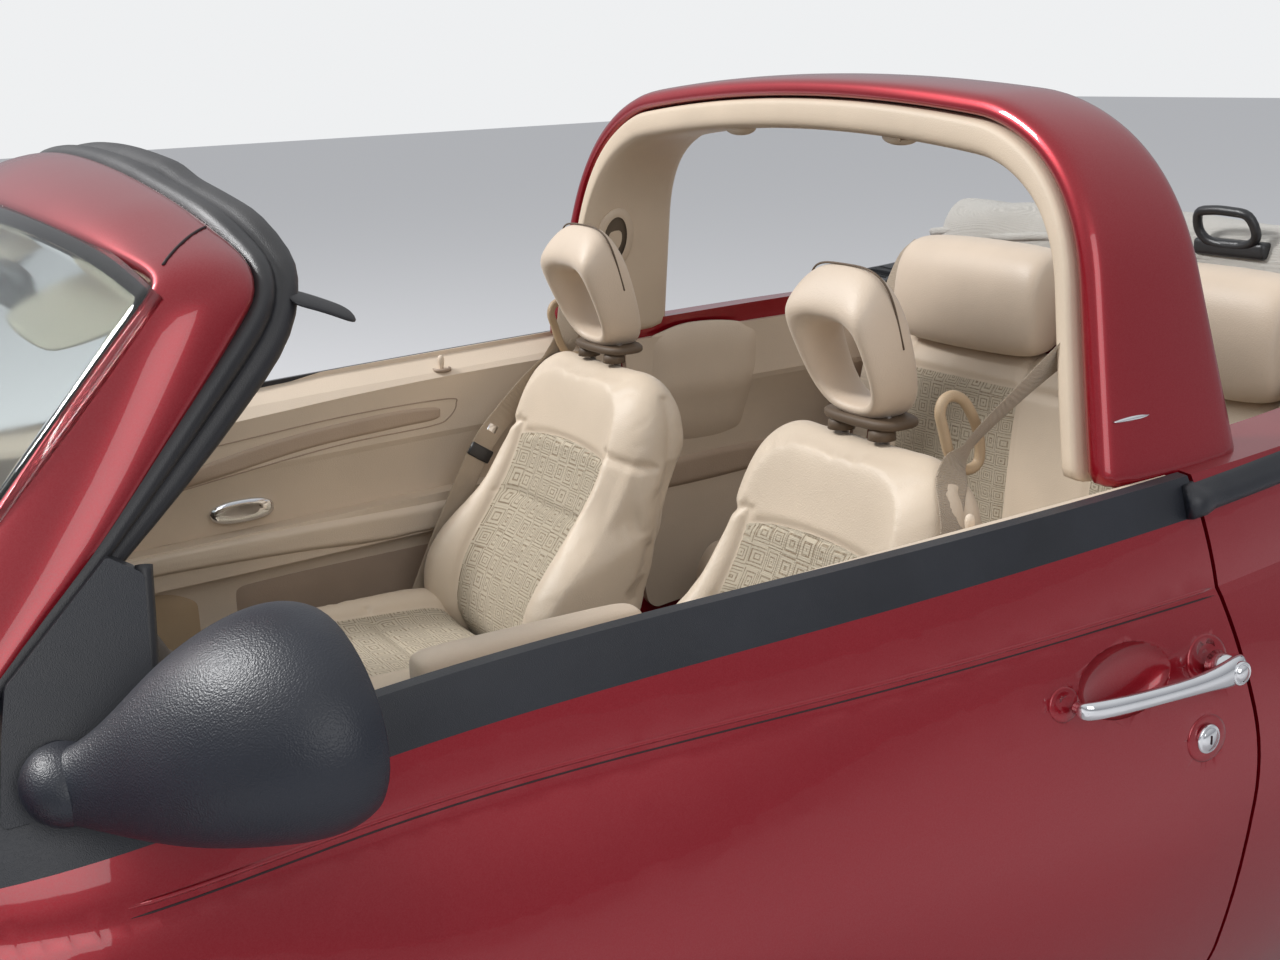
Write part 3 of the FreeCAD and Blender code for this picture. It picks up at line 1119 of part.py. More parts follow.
doc.recompute()
faults = []
for item in doc.Objects:
    if "Invalid" in item.State or "Error" in item.State:
        faults.append("%s: %s" % (item.Label, item.State))
for item in parts:
    shape = item.Shape
    if shape.isNull() or not shape.isValid() or not shape.Solids:
        faults.append("%s: shape" % item.Label)
if faults:
    raise SystemExit("\n".join(faults))
os.makedirs("parts", exist_ok=True)
for name, axis in (("hood", hood_axis), ("trunk lid", lid_axis), ("fuel flap", flap_axis), ("door", hinge_start)):
    print("hinge of the %s: x %.2f  y %.2f  z %.2f" % (name, axis.x, axis.y, axis.z))
for item in parts:
    item.Shape.exportStep("parts/%s.step" % item.Label)
    box = item.Shape.BoundBox
    print("%-22s %2d solids  x %6.0f %6.0f  y %6.0f %6.0f  z %6.0f %6.0f" % (
        item.Label, len(item.Shape.Solids), box.XMin, box.XMax, box.YMin, box.YMax, box.ZMin, box.ZMax))
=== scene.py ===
import bpy
import bmesh
import math
from mathutils import Matrix, Vector, noise
from mathutils.bvhtree import BVHTree


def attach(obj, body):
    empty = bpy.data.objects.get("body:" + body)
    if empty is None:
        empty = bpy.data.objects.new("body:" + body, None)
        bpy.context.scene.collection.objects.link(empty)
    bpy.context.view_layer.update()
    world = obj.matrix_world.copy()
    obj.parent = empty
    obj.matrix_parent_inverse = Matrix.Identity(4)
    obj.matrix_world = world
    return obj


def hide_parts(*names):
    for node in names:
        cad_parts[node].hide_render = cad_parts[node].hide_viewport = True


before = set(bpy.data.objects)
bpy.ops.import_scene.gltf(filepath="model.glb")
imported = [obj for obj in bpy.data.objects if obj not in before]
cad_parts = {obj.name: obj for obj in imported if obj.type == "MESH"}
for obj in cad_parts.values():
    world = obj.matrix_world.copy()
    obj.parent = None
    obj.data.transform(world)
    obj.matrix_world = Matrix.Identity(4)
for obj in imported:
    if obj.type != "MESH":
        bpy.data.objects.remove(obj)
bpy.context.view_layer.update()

# Camera
# It stands beside the driver's door, a little ahead of it, and looks back over the door into the cabin.
CAMERA_AT = (1.095, 2.079, 1.555)
YAW, PITCH, ROLL = (math.radians(a) for a in (30.5, -15.14, -2.09))
FOCAL_PIXELS, PHOTO_WIDTH, SENSOR = 1591, 1280, 36.0


def set_out(name, data):
    """Place a mesh, lamp or camera in the scene."""
    thing = bpy.data.objects.new(name, data)
    bpy.context.scene.collection.objects.link(thing)
    return thing


camera_data = bpy.data.cameras.new("camera")
camera_data.sensor_width = SENSOR
camera_data.lens = SENSOR * FOCAL_PIXELS / PHOTO_WIDTH
camera_data.clip_start = 0.05
camera = set_out("camera", camera_data)
look = Vector((-math.sin(YAW) * math.cos(PITCH), -math.cos(YAW) * math.cos(PITCH), math.sin(PITCH)))
across = look.cross(Vector((0, 0, 1))).normalized()
up = across.cross(look)
level_across = across * math.cos(ROLL) + up * math.sin(ROLL)
level_up = up * math.cos(ROLL) - across * math.sin(ROLL)
camera.matrix_world = Matrix.Translation(CAMERA_AT) @ Matrix((level_across, level_up, -look)).transposed().to_4x4()
bpy.context.scene.camera = camera
bpy.context.scene.view_settings.view_transform = "Standard"

# Studio
# A pale floor, a sky that is brighter overhead, and one broad lamp ahead of the car on its far side, where the
# sun of the photograph stands.


def lay(tree, kind, inputs=None, **settings):
    """Place a shader node, and set its inputs to values or link them to sockets or nodes."""
    node = tree.nodes.new("ShaderNode" + kind)
    for key, value in settings.items():
        setattr(node, key, value)
    for key, value in (inputs or {}).items():
        if isinstance(value, bpy.types.Node):
            value = value.outputs[0]
        if isinstance(value, bpy.types.NodeSocket):
            tree.links.new(value, node.inputs[key])
        else:
            node.inputs[key].default_value = value
    return node


def paint_value(red, green, blue):
    """A screen colour from 0 to 255 as the linear colour that the shaders take."""
    return tuple(((c / 255 + 0.055) / 1.055) ** 2.4 for c in (red, green, blue)) + (1.0,)


def meshed(name, form):
    """A bmesh's shape as a mesh."""
    mesh = bpy.data.meshes.new(name)
    form.to_mesh(mesh)
    form.free()
    return mesh


world = bpy.data.worlds.new("studio")
bpy.context.scene.world = world
world.use_nodes = True
sky = world.node_tree
sky.nodes.clear()
height = lay(sky, "SeparateXYZ", {0: lay(sky, "TexCoord").outputs["Generated"]})
ramp = lay(sky, "ValToRGB", {0: height.outputs["Z"]})
for stop, place, colour in ((0, 0.0, (0.42, 0.43, 0.46, 1)), (1, 0.75, (0.95, 0.97, 1.0, 1))):
    ramp.color_ramp.elements[stop].position = place
    ramp.color_ramp.elements[stop].color = colour
lit = lay(sky, "Background", {"Color": ramp, "Strength": 0.75})
seen = lay(sky, "Background", {"Color": (0.86, 0.87, 0.88, 1), "Strength": 1.0})
choice = lay(sky, "MixShader", {0: lay(sky, "LightPath").outputs["Is Camera Ray"], 1: lit, 2: seen})
lay(sky, "OutputWorld", {"Surface": choice})

floor_form = bmesh.new()
bmesh.ops.create_grid(floor_form, x_segments=1, y_segments=1, size=30)
floor = set_out("studio_floor", meshed("studio_floor", floor_form))
floor_finish = bpy.data.materials.new("studio_floor")
floor_finish.use_nodes = True
floor_finish.node_tree.nodes["Principled BSDF"].inputs["Base Color"].default_value = (0.66, 0.66, 0.67, 1)
floor_finish.node_tree.nodes["Principled BSDF"].inputs["Roughness"].default_value = 0.9
floor.data.materials.append(floor_finish)

for lamp_name, lamp_at, lamp_aim, lamp_power, lamp_size in (
        ("sun_side", (4.5, -3.5, 6.0), (0, 0, 0.8), 560, 1.6),
        ("near_fill", (1.5, 6.5, 4.0), (-0.3, 0, 0.8), 130, 4.0)):
    lamp_data = bpy.data.lights.new(lamp_name, "AREA")
    lamp_data.energy = lamp_power
    lamp_data.size = lamp_size
    lamp = set_out(lamp_name, lamp_data)
    lamp.location = lamp_at
    lamp.rotation_euler = (Vector(lamp_aim) - Vector(lamp_at)).to_track_quat("-Z", "Y").to_euler()

# Body paint
# Deep metallic red lacquer with a clear coat over pressed steel, on every outer panel, the roll hoop and the
# windscreen frame. The flakes show as a fine sparkle, and road dust lies on what faces up.
DUST = (0.45, 0.43, 0.4, 1)


def effect(name, output, **inputs):
    """Start a shader group with one value out; a None input is a vector, and the others are numbers.
    Returns its tree, its input sockets and the socket that its value goes to."""
    tree = bpy.data.node_groups.new(name, "ShaderNodeTree")
    for label, value in inputs.items():
        kind = "NodeSocketVector" if value is None else "NodeSocketFloat"
        socket = tree.interface.new_socket(label, in_out="INPUT", socket_type=kind)
        if value is not None:
            socket.default_value = value
    tree.interface.new_socket(output, in_out="OUTPUT", socket_type="NodeSocketFloat")
    return tree, tree.nodes.new("NodeGroupInput").outputs, tree.nodes.new("NodeGroupOutput").inputs[0]


def reckon(tree, operation, *values, **settings):
    """Place a Math node on numbers, sockets or nodes."""
    return lay(tree, "Math", dict(enumerate(values)), operation=operation, **settings)


def blended(tree, share, low, high, **settings):
    """Colour between two, by a share."""
    return lay(tree, "Mix", {0: share, 6: low, 7: high}, data_type="RGBA", **settings).outputs[2]


drift, given, result = effect("drift", "Value", Vector=None, Scale=3)
cloud = lay(drift, "TexNoise", {"Vector": given["Vector"], "Scale": given["Scale"], "Detail": 4.0})
drift.links.new(lay(drift, "MapRange", {0: cloud, 1: 0.3, 2: 0.7}).outputs[0], result)

dust, given, result = effect("dust", "Mask", Vector=None, Amount=0.1)
cloud = lay(dust, "TexNoise", {"Vector": given["Vector"], "Scale": 14.0, "Detail": 6.0})
faces_up = lay(dust, "SeparateXYZ", {0: lay(dust, "NewGeometry").outputs["Normal"]}).outputs["Z"]
spread_out = reckon(dust, "MULTIPLY", cloud, lay(dust, "MapRange", {0: faces_up, 1: 0.1, 2: 1.0}))
dust.links.new(reckon(dust, "MULTIPLY", spread_out, given["Amount"]).outputs[0], result)

grain, given, result = effect("grain", "Height", Vector=None, Scale=500)
pebbles = lay(grain, "TexVoronoi", {"Vector": given["Vector"], "Scale": given["Scale"]}, feature="SMOOTH_F1")
cloud = lay(grain, "TexNoise", {"Vector": given["Vector"], "Scale": given["Scale"], "Detail": 2.0})
grain.links.new(reckon(grain, "MULTIPLY_ADD", cloud, 0.5, pebbles).outputs[0], result)


def finish(name, colour, roughness, metallic=0.0, tone=0.08, spread=3.0, pebble=None, dusty=0.0, **plain):
    """A material whose colour and gloss drift a little, with grain in its bump and dust on what faces up."""
    made = bpy.data.materials.new(name)
    made.use_nodes = True
    tree = made.node_tree
    shader = tree.nodes["Principled BSDF"]
    shader.inputs["Metallic"].default_value = metallic
    for key, value in plain.items():
        shader.inputs["IOR" if key == "ior" else key.replace("_", " ").title()].default_value = value
    place = lay(tree, "TexCoord", name="place").outputs["Object"]
    cloud = lay(tree, "Group", {"Vector": place, "Scale": spread}, node_tree=drift)
    dark, light = (tuple(min(1, c * part) for c in colour[:3]) + (1,) for part in (1 - tone, 1 + tone))
    fall = lay(tree, "Group", {"Vector": place, "Amount": dusty}, node_tree=dust)
    topped = blended(tree, fall, blended(tree, cloud, dark, light), DUST, name="colour")
    tree.links.new(topped, shader.inputs["Base Color"])
    gloss = reckon(tree, "MULTIPLY_ADD", cloud, 0.1, roughness - 0.05)
    dull = reckon(tree, "MULTIPLY_ADD", fall, 0.6, gloss, use_clamp=True)
    tree.links.new(dull.outputs[0], shader.inputs["Roughness"])
    if pebble:
        scale, depth = pebble
        skin = lay(tree, "Group", {"Vector": place, "Scale": scale}, node_tree=grain)
        lift = lay(tree, "Bump", {"Height": skin, "Distance": depth}, name="grain")
        tree.links.new(lift.outputs[0], shader.inputs["Normal"])
    return made


def insides(material):
    """A finish's shader tree, its shader and its object coordinates, to add to."""
    tree = material.node_tree
    return tree, tree.nodes["Principled BSDF"], tree.nodes["place"].outputs["Object"]


def emboss(material, height, depth):
    """Let a height socket or node shape a finish's surface."""
    tree, shader, _ = insides(material)
    tree.links.new(lay(tree, "Bump", {"Height": height, "Distance": depth}).outputs[0], shader.inputs["Normal"])


def dress(material, *nodes):
    """Give CAD nodes this material."""
    for node in nodes:
        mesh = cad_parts[node].data
        mesh.materials.clear()
        mesh.materials.append(material)


lacquer = finish("red_lacquer", paint_value(146, 3, 26), 0.34, 0.55, tone=0.05, spread=2.0, dusty=0.03,
                 coat_weight=0.8, coat_roughness=0.03)
tree, shader, place = insides(lacquer)
flakes = lay(tree, "TexVoronoi", {"Vector": place, "Scale": 900.0}).outputs["Color"]
sparkle = lay(tree, "MapRange", {0: flakes, 1: 0.0, 2: 1.0, 3: 0.35, 4: 0.7})
tree.links.new(sparkle.outputs[0], shader.inputs["Metallic"])
dress(lacquer, "body_shell", "front_fenders", "cowl", "front_bumper", "rear_bumper", "windscreen_frame",
      "roll_hoop", "hood", "trunk_lid", "fuel_flap", "door_left", "door_right")

# Windscreen and its black seals
# Laminated glass in the painted frame. Behind the header lie two rubber rolls that the closed top presses on, and
# a hollow bead runs down each pillar to the belt line.
SIDES = (("left", 1), ("right", -1))


def edges_round(form, ring):
    """The edges of a ring of vertices."""
    return [form.edges.get(pair) for pair in zip(ring, ring[1:] + ring[:1])]


def loft(form, rings, capped=True):
    """Skin through rings of equally many points: one ring is laid down, and its edges are extruded to the next."""
    line = first = [form.verts.new(p) for p in rings[0]]
    for pair in zip(line, line[1:] + line[:1]):
        form.edges.new(pair)
    for ring in rings[1:]:
        made = bmesh.ops.extrude_edge_only(form, edges=edges_round(form, line))["geom"]
        fresh = {v for v in made if isinstance(v, bmesh.types.BMVert)}
        line = [next(e.other_vert(v) for e in v.link_edges if e.other_vert(v) in fresh) for v in line]
        for vert, place in zip(line, ring):
            vert.co = place
    if capped:
        for end in (first, line):
            bmesh.ops.contextual_create(form, geom=edges_round(form, end))
    bmesh.ops.recalc_face_normals(form, faces=form.faces)


def welded(form, gap=1e-5):
    """Close a bmesh's seams and turn its faces outwards."""
    bmesh.ops.remove_doubles(form, verts=form.verts, dist=gap)
    bmesh.ops.recalc_face_normals(form, faces=form.faces)


def rounded(piece, levels):
    """Let a piece's mesh be subdivided."""
    rounder = piece.modifiers.new("rounder", "SUBSURF")
    rounder.levels = rounder.render_levels = levels


def keep(name, form, material, slot, body="chassis", *, smooth=True, subdivide=0, sharp=None, fill=None,
         instead_of=()):
    """Turn a bmesh into a piece that rides on a body. Edges past the sharp angle stay sharp. The fill argument is
    not used."""
    piece = set_out(name, meshed(name, form))
    piece.data.materials.append(material)
    for face in piece.data.polygons:
        face.use_smooth = smooth
    if sharp:
        piece.data.set_sharp_from_angle(angle=math.radians(sharp))
    if subdivide:
        rounded(piece, subdivide)
    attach(piece, body)
    if instead_of:
        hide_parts(*instead_of)
    return piece


def lofted(name, rings, *look, capped=True, **how):
    """A skin through rings as a piece; look is its material, slot and body. The slot is not used."""
    form = bmesh.new()
    loft(form, rings, capped)
    return keep(name, form, *look, **how)


def smooth_line(points, steps=6, closed=False):
    """Points along a smooth curve through the given ones."""
    points = [Vector(p) for p in points]
    if closed:
        points = points[-1:] + points + points[:2]
    else:
        points = [points[0] * 2 - points[1]] + points + [points[-1] * 2 - points[-2]]
    line = []
    for a, b, c, d in zip(points, points[1:], points[2:], points[3:]):
        for step in range(steps):
            t = step / steps
            line.append(0.5 * (2 * b + (c - a) * t + (2 * a - 5 * b + 4 * c - d) * t * t
                               + (3 * b - a - 3 * c + d) * t ** 3))
    return line if closed else line + points[-2:-1]


def tube(form, line, radius, sides, closed=False, tips=1.0):
    """Round bar along a line; tips is the radius share left at its ends."""
    rings = []
    side = None
    count = len(line)
    for n, place in enumerate(line):
        ahead = line[(n + 1) % count] if closed or n + 1 < count else place
        behind = line[n - 1] if closed or n else place
        way = (ahead - behind).normalized()
        if side is None:
            side = way.orthogonal().normalized()
        side = (side - way * side.dot(way)).normalized()
        other = way.cross(side)
        size = radius * (tips if n in (0, count - 1) and not closed else 1.0)
        turns = [math.tau * k / sides for k in range(sides)]
        rings.append([place + side * math.cos(t) * size + other * math.sin(t) * size for t in turns])
    loft(form, rings + rings[:1] if closed else rings, capped=not closed)
    if closed:
        welded(form, 1e-6)


def piped(name, line, radius, sides, *look, closed=False, tips=1.0, **how):
    """A round bar as a piece; look is its material, slot and body. The slot is not used."""
    form = bmesh.new()
    tube(form, line, radius, sides, closed, tips)
    return keep(name, form, *look, **how)


def skin_of(*nodes):
    """Search tree over the faces of CAD nodes."""
    verts, faces = [], []
    for node in nodes:
        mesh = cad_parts[node].data
        start = len(verts)
        verts += [v.co.copy() for v in mesh.vertices]
        faces += [[start + i for i in p.vertices] for p in mesh.polygons]
    return BVHTree.FromPolygons(verts, faces)


def touch(tree, start, way):
    """Where a straight line first meets a surface, or the surface's nearest point where it passes by."""
    start = Vector(start)
    return tree.ray_cast(start, Vector(way))[0] or tree.find_nearest(start)[0]


def rest_on(tree, x, y, lift=0.0, top=1.7):
    """Point above a place in plan, a little over the surface below it."""
    return Vector((x, y, touch(tree, (x, y, top), (0, 0, -1)).z + lift))


def reach_of(tree, x, z, side, start):
    """How far out a skin lies, met from the cabin where start is under half a metre, and else from outside."""
    return abs(touch(tree, (x, side * start, z), (0, side if start < 0.5 else -side, 0)).y)


def on_side(point, side):
    """A point of the left side, or its mirror image on the right."""
    return Vector((point[0], side * point[1], point[2]))


rubber = finish("seal_rubber", (0.012, 0.012, 0.015, 1), 0.42, tone=0.3, spread=9.0, pebble=(900.0, 0.0002),
                dusty=0.12)
screen_skin = skin_of("header_seal", "windscreen_frame")

# Outer (at the paint) and inner edge of the seal, up the left pillar
POST_SEAL = (((0.960, 0.734, 1.030), (0.945, 0.698, 1.022)), ((0.928, 0.721, 1.061), (0.918, 0.688, 1.044)),
             ((0.880, 0.704, 1.103), (0.871, 0.674, 1.078)), ((0.827, 0.686, 1.148), (0.815, 0.658, 1.119)),
             ((0.759, 0.658, 1.217), (0.736, 0.635, 1.176)), ((0.694, 0.632, 1.283), (0.662, 0.609, 1.239)),
             ((0.652, 0.614, 1.325), (0.618, 0.594, 1.279)))
# The same round the corner, with the way that the seal faces
CORNER_SEAL = [((0.634, 0.598, 1.345), (0.592, 0.574, 1.312), (-0.45, 0.75, 0.48)),
               ((0.630, 0.574, 1.366), (0.578, 0.552, 1.345), (-0.38, 0.45, 0.80)),
               ((0.632, 0.540, 1.380), (0.572, 0.525, 1.366), (-0.25, 0.22, 0.94))]
# Its section: share of the way from the outer to the inner edge, and height
SEAL_PROFILE = ((0.0, -0.002), (0.07, 0.006), (0.16, 0.0085), (0.28, 0.0085), (0.38, 0.005), (0.44, 0.0005),
                (0.52, 0.0005), (0.58, 0.006), (0.68, 0.010), (0.84, 0.010), (0.95, 0.005), (1.0, -0.002),
                (1.02, -0.020), (0.7, -0.034), (0.3, -0.034), (0.0, -0.024))


def seal_ring(outer, inner, out_way):
    """Section of the two-roll seal between its outer and its inner edge."""
    return [outer.lerp(inner, share) + out_way.normalized() * lift for share, lift in SEAL_PROFILE]


rows = []
for n, (outer, inner) in enumerate(POST_SEAL):
    upper, lower = POST_SEAL[min(n + 1, len(POST_SEAL) - 1)][0], POST_SEAL[max(n - 1, 0)][0]
    out_way = (Vector(upper) - Vector(lower)).cross(Vector(inner) - Vector(outer)).normalized()
    rows.append((outer, inner, out_way if out_way.y > 0 else -out_way))
left, right = ([seal_ring(*(on_side(p, side) for p in row)) for row in rows + CORNER_SEAL] for _, side in SIDES)
header = []
for n in range(1, 24):
    y = 0.52 * (1 - n / 12)
    bow = 0.028 * (1 - (y / 0.56) ** 2)
    outer, inner = (rest_on(screen_skin, x + bow, y, 0.001) for x in (0.640, 0.574))
    header.append(seal_ring(outer, inner, Vector((-0.2, 0.0, 0.98))))
lofted("pillar_and_header_seal", left + header + right[::-1], rubber, "black_trim", subdivide=1,
       instead_of=("header_seal",))

for side_name, side in SIDES:
    rings = [[(x, side * (y - half), z + 0.010), (x, side * (y + half * 0.6), z - 0.004),
              (x, side * (y + half * 0.6), z - 0.012), (x, side * (y - half), z - 0.002)] for x, y, z, half in (
        (0.604, 0.580, 1.338, 0.022), (0.580, 0.578, 1.330, 0.024), (0.552, 0.574, 1.318, 0.020),
        (0.528, 0.570, 1.306, 0.012))]
    lofted("seal_tip_" + side_name, rings, rubber, "black_trim", subdivide=2)

glass = finish("screen_glass", (0.86, 0.93, 0.91, 1), 0.06, tone=0.02, dusty=0.03, transmission_weight=1.0,
               ior=1.45)
GLASS_FOOT, GLASS_CORNER, GLASS_CROWN, GLASS_THICK, GLASS_RADIUS = 0.958, 1.356, 0.056, 0.005, 2.1275


def on_glass(y, z, sink=0.006):
    """Point of the windscreen's curved surface, a little below the paint."""
    curve = GLASS_RADIUS - math.sqrt(GLASS_RADIUS ** 2 - y ** 2)
    return Vector((1.185 - sink - (z - 1.0) - curve, y, z))


rings = []
for n in range(21):
    share = n / 20
    level = GLASS_FOOT + (GLASS_CORNER - GLASS_FOOT) * share
    half = 0.680 - 0.070 * share ** 1.15
    front = [on_glass(u * half, level + GLASS_CROWN * share ** 2 * (1 - abs(u) ** 2.8))
             for u in (-1 + k / 20 for k in range(41))]
    rings.append(front + [spot - Vector((GLASS_THICK, 0, GLASS_THICK)) for spot in front[::-1]])
lofted("screen_pane", rings, glass, "screen_glass", instead_of=("windscreen",))

# Painted windscreen frame
# Two pressed pillars and a header, welded and painted with the body. The header laps over the pillars, and each lap
# shows as a fine dark joint. A beige moulding lines the inside.
FRAME_EDGES = [((1.088, 0.668, 0.972), (0.992, 0.747, 0.985)), ((1.044, 0.660, 1.030), (0.960, 0.734, 1.030)),
               ((0.985, 0.646, 1.095), (0.905, 0.713, 1.082)), ((0.934, 0.634, 1.150), (0.850, 0.694, 1.128)),
               ((0.894, 0.625, 1.191), (0.812, 0.680, 1.163)), ((0.852, 0.615, 1.236), (0.770, 0.662, 1.206)),
               ((0.815, 0.608, 1.275), (0.730, 0.646, 1.247)), ((0.779, 0.603, 1.313), (0.694, 0.632, 1.283)),
               ((0.750, 0.600, 1.342), (0.668, 0.621, 1.312)), ((0.735, 0.595, 1.357), (0.650, 0.613, 1.332)),
               ((0.729, 0.584, 1.366), (0.637, 0.601, 1.348)), ((0.730, 0.563, 1.372), (0.631, 0.577, 1.367)),
               ((0.735, 0.529, 1.377), (0.633, 0.541, 1.383))]
# Section of the paint, then of the moulding inside it: share of the way from the glass to the seal, and height
FRAME_CROWN = ((0.0, 0.001), (0.05, 0.005), (0.2, 0.011), (0.42, 0.0145), (0.66, 0.0135), (0.86, 0.008),
               (0.96, 0.003), (1.0, -0.002), (1.0, -0.014), (0.94, -0.026), (0.5, -0.026), (0.10, -0.026))
LINER_CROWN = ((0.02, 0.001), (0.08, 0.008), (0.5, 0.014), (0.95, 0.012), (1.06, 0.006), (1.06, 0.0), (0.5, 0.0))
stations = [(Vector(g), Vector(e)) for g, e in FRAME_EDGES]
for n in range(1, 18):
    y = 0.50 * (1 - n / 9)
    glass_edge = Vector((0.773 - 0.0245 * (y / 0.43) ** 2, y, 1.406 - 0.0190 * (y / 0.428) ** 2))
    stations.append((glass_edge, rest_on(screen_skin, 0.642 + 0.026 * (1 - (y / 0.56) ** 2), y, 0.001)))
stations += [(on_side(g, -1), on_side(e, -1)) for g, e in FRAME_EDGES[::-1]]
rings, liner_rings, band_rings = [], [], []
for n, (low, high) in enumerate(stations):
    ahead, behind = stations[min(n + 1, len(stations) - 1)], stations[max(n - 1, 0)]
    along = (ahead[0] + ahead[1] - behind[0] - behind[1]).normalized()
    out_way = along.cross(high - low).normalized()
    if out_way.dot(low - Vector((0.3, 0, 0.9))) < 0:
        out_way = -out_way
    rings.append([low - out_way * 0.006] + [low.lerp(high, share) + out_way * lift for share, lift in FRAME_CROWN])
    liner_rings.append([low.lerp(high, share) - out_way * (lift + 0.027) for share, lift in LINER_CROWN])
    inner = low.lerp(Vector((0.80, 0, 1.20)), 0.022)
    band_rings.append([place - Vector((sink, 0, sink)) for place, sink in (
        (low, 0.0105), (low, 0.006), (inner, 0.007), (inner, 0.0115))])
frame_paint = lofted("screen_frame_paint", rings, lacquer, "paint", subdivide=1, instead_of=("windscreen_frame",))
lining = finish("lining_plastic", paint_value(206, 188, 166), 0.55, tone=0.06, spread=5.0, pebble=(620.0, 0.00025))
lofted("screen_frame_liner", liner_rings, lining, "interior", subdivide=1)
lofted("glass_edge_band", band_rings, rubber, "black_trim")
# Near-black for the dark joints, and also for the painted shade line under each door's swage.
joint_and_shade_black = finish("joint_and_shade_line", (0.02, 0.004, 0.006, 1), 0.6, tone=0.2, pebble=(1200.0, 0.0001))
frame_shape = frame_paint.evaluated_get(bpy.context.evaluated_depsgraph_get()).to_mesh()
frame_top = BVHTree.FromPolygons([v.co for v in frame_shape.vertices],
                                 [p.vertices[:] for p in frame_shape.polygons])
for side_name, side in SIDES:
    line = [rest_on(frame_top, 0.652 + 0.064 * n / 12, side * (0.500 + 0.074 * n / 12), 0.0002) for n in range(13)]
    piped("header_joint_" + side_name, line, 0.0016, 6, joint_and_shade_black, "paint")

# Sun visors
# Two padded vinyl visors lie folded up under the header.
visor_vinyl = finish("visor_vinyl", paint_value(206, 192, 170), 0.6, tone=0.06, pebble=(700.0, 0.0003))
for side_name, side in SIDES:
    rings = []
    for t in (n / 8 for n in range(9)):
        half = 0.19 * math.sin(math.pi * (0.06 + 0.88 * t)) ** 0.25
        x, z = 0.655 + 0.15 * t, 1.352 - 0.055 * t
        rings.append([(x, side * (0.31 + flip * half), z - drop) for flip, drop in (
            (-1, 0.006), (1, 0.012), (1, 0.022), (-1, 0.018))])
    lofted("sun_visor_" + side_name, rings, visor_vinyl, "interior", subdivide=2)

# Roll hoop
# One painted steel arch with a wide moulded lining in grained beige plastic, which has two coat bumps at its top, a
# joint near its middle and a belt opening in each leg.
# Each belt opening is a flat dark fill: painted shade for the shaded inside of the slot.
LEG_WRAP = 0.020


def hoop_arch(inset):
    """Front view of the hoop as points from the left foot to the right, set in from its outer line."""
    low, shoulder, crown, foot, lean, radius = 1.0, 1.440, 1.503, 0.748, 0.26, 0.19 - inset * 0.8
    side_y = foot - inset - lean * (shoulder - inset - 1.0)
    corner = Vector((side_y, shoulder - inset))
    bend = corner - (corner - Vector((foot - inset, low))).normalized() * radius
    crown_y = side_y - radius
    top = Vector((crown_y, crown - inset - (crown - shoulder) * (crown_y / side_y) ** 2 * 0.75))
    half = [Vector((foot - inset, low)).lerp(bend, n / 10) for n in range(10)]
    for t in (n / 14 for n in range(14)):
        half.append(bend * (1 - t) ** 2 + corner * 2 * t * (1 - t) + top * t * t)
    for y in (crown_y * (1 - n / 12) for n in range(13)):
        half.append(Vector((y, crown - inset - (crown - inset - top.y) * (y / crown_y) ** 2)))
    return half + [Vector((-p.x, p.y)) for p in half[-2::-1]]


def hoop_part(name, look_of, slot, node, section):
    """Sweep a section over the arch: each point has its share from front to rear and its depth below the outside."""
    arches = {depth: hoop_arch(depth) for _, depth in section}
    lower_arches = {depth: hoop_arch(depth + LEG_WRAP) for _, depth in section}
    rings = []
    for n in range(len(arches[section[0][1]])):
        ring = []
        for share, depth in section:
            y, z = arches[depth][n]
            climb = min(1.0, max(0.0, (z - 1.0) / 0.48))
            if share < 0.05 and 0.02 < depth < 0.06:
                y, z = arches[depth][n].lerp(lower_arches[depth][n], 1 - climb ** 2)
            front, rear = -0.356 - 0.068 * climb, -0.612 + 0.037 * climb
            ring.append((front + (rear - front) * share, y, z))
        rings.append(ring)
    lofted(name, rings, look_of, slot, subdivide=1, instead_of=(node,))


def squared(value, power):
    """Sine or cosine made squarer."""
    return math.copysign(abs(value) ** power, value)


def oval(count, wide, high=None, wide_power=1.0, high_power=1.0):
    """Points round an oval as pairs; a power under 1 squares it off, and without a height it is a circle."""
    high = wide if high is None else high
    return [(wide * squared(math.cos(turn), wide_power), high * squared(math.sin(turn), high_power))
            for turn in (math.tau * k / count for k in range(count))]


def globe(u_steps, v_steps, size, place):
    """A ball stretched to its three half sizes."""
    form = bmesh.new()
    bmesh.ops.create_uvsphere(form, u_segments=u_steps, v_segments=v_steps, radius=1.0)
    bmesh.ops.scale(form, vec=size, verts=form.verts)
    bmesh.ops.translate(form, vec=place, verts=form.verts)
    return form


hoop_part("painted_hoop", lacquer, "paint", "roll_hoop", (
    (0.0, 0.030), (0.0, 0.020), (0.012, 0.010), (0.045, 0.003), (0.12, -0.001), (0.30, -0.004),
    (0.55, -0.005), (0.80, -0.003), (0.93, 0.000), (0.975, 0.006), (1.0, 0.016), (1.0, 0.030)))
hoop_part("hoop_liner", lining, "interior", "hoop_lining", (
    (0.006, 0.028), (-0.010, 0.033), (-0.016, 0.042), (-0.012, 0.056), (0.010, 0.068), (0.060, 0.076),
    (0.20, 0.079), (0.80, 0.079), (0.94, 0.074), (0.99, 0.058), (1.005, 0.040), (0.994, 0.028)))
hoop_skin = skin_of("roll_hoop", "hoop_lining")
for number, y in enumerate((-0.173, 0.239)):
    under = touch(hoop_skin, (-0.452, y, 1.2), (0, 0, 1))
    keep("lining_bump_%d" % (number + 1), globe(20, 12, (0.020, 0.036, 0.013), (-0.452, y, under.z)), lining,
         "interior")

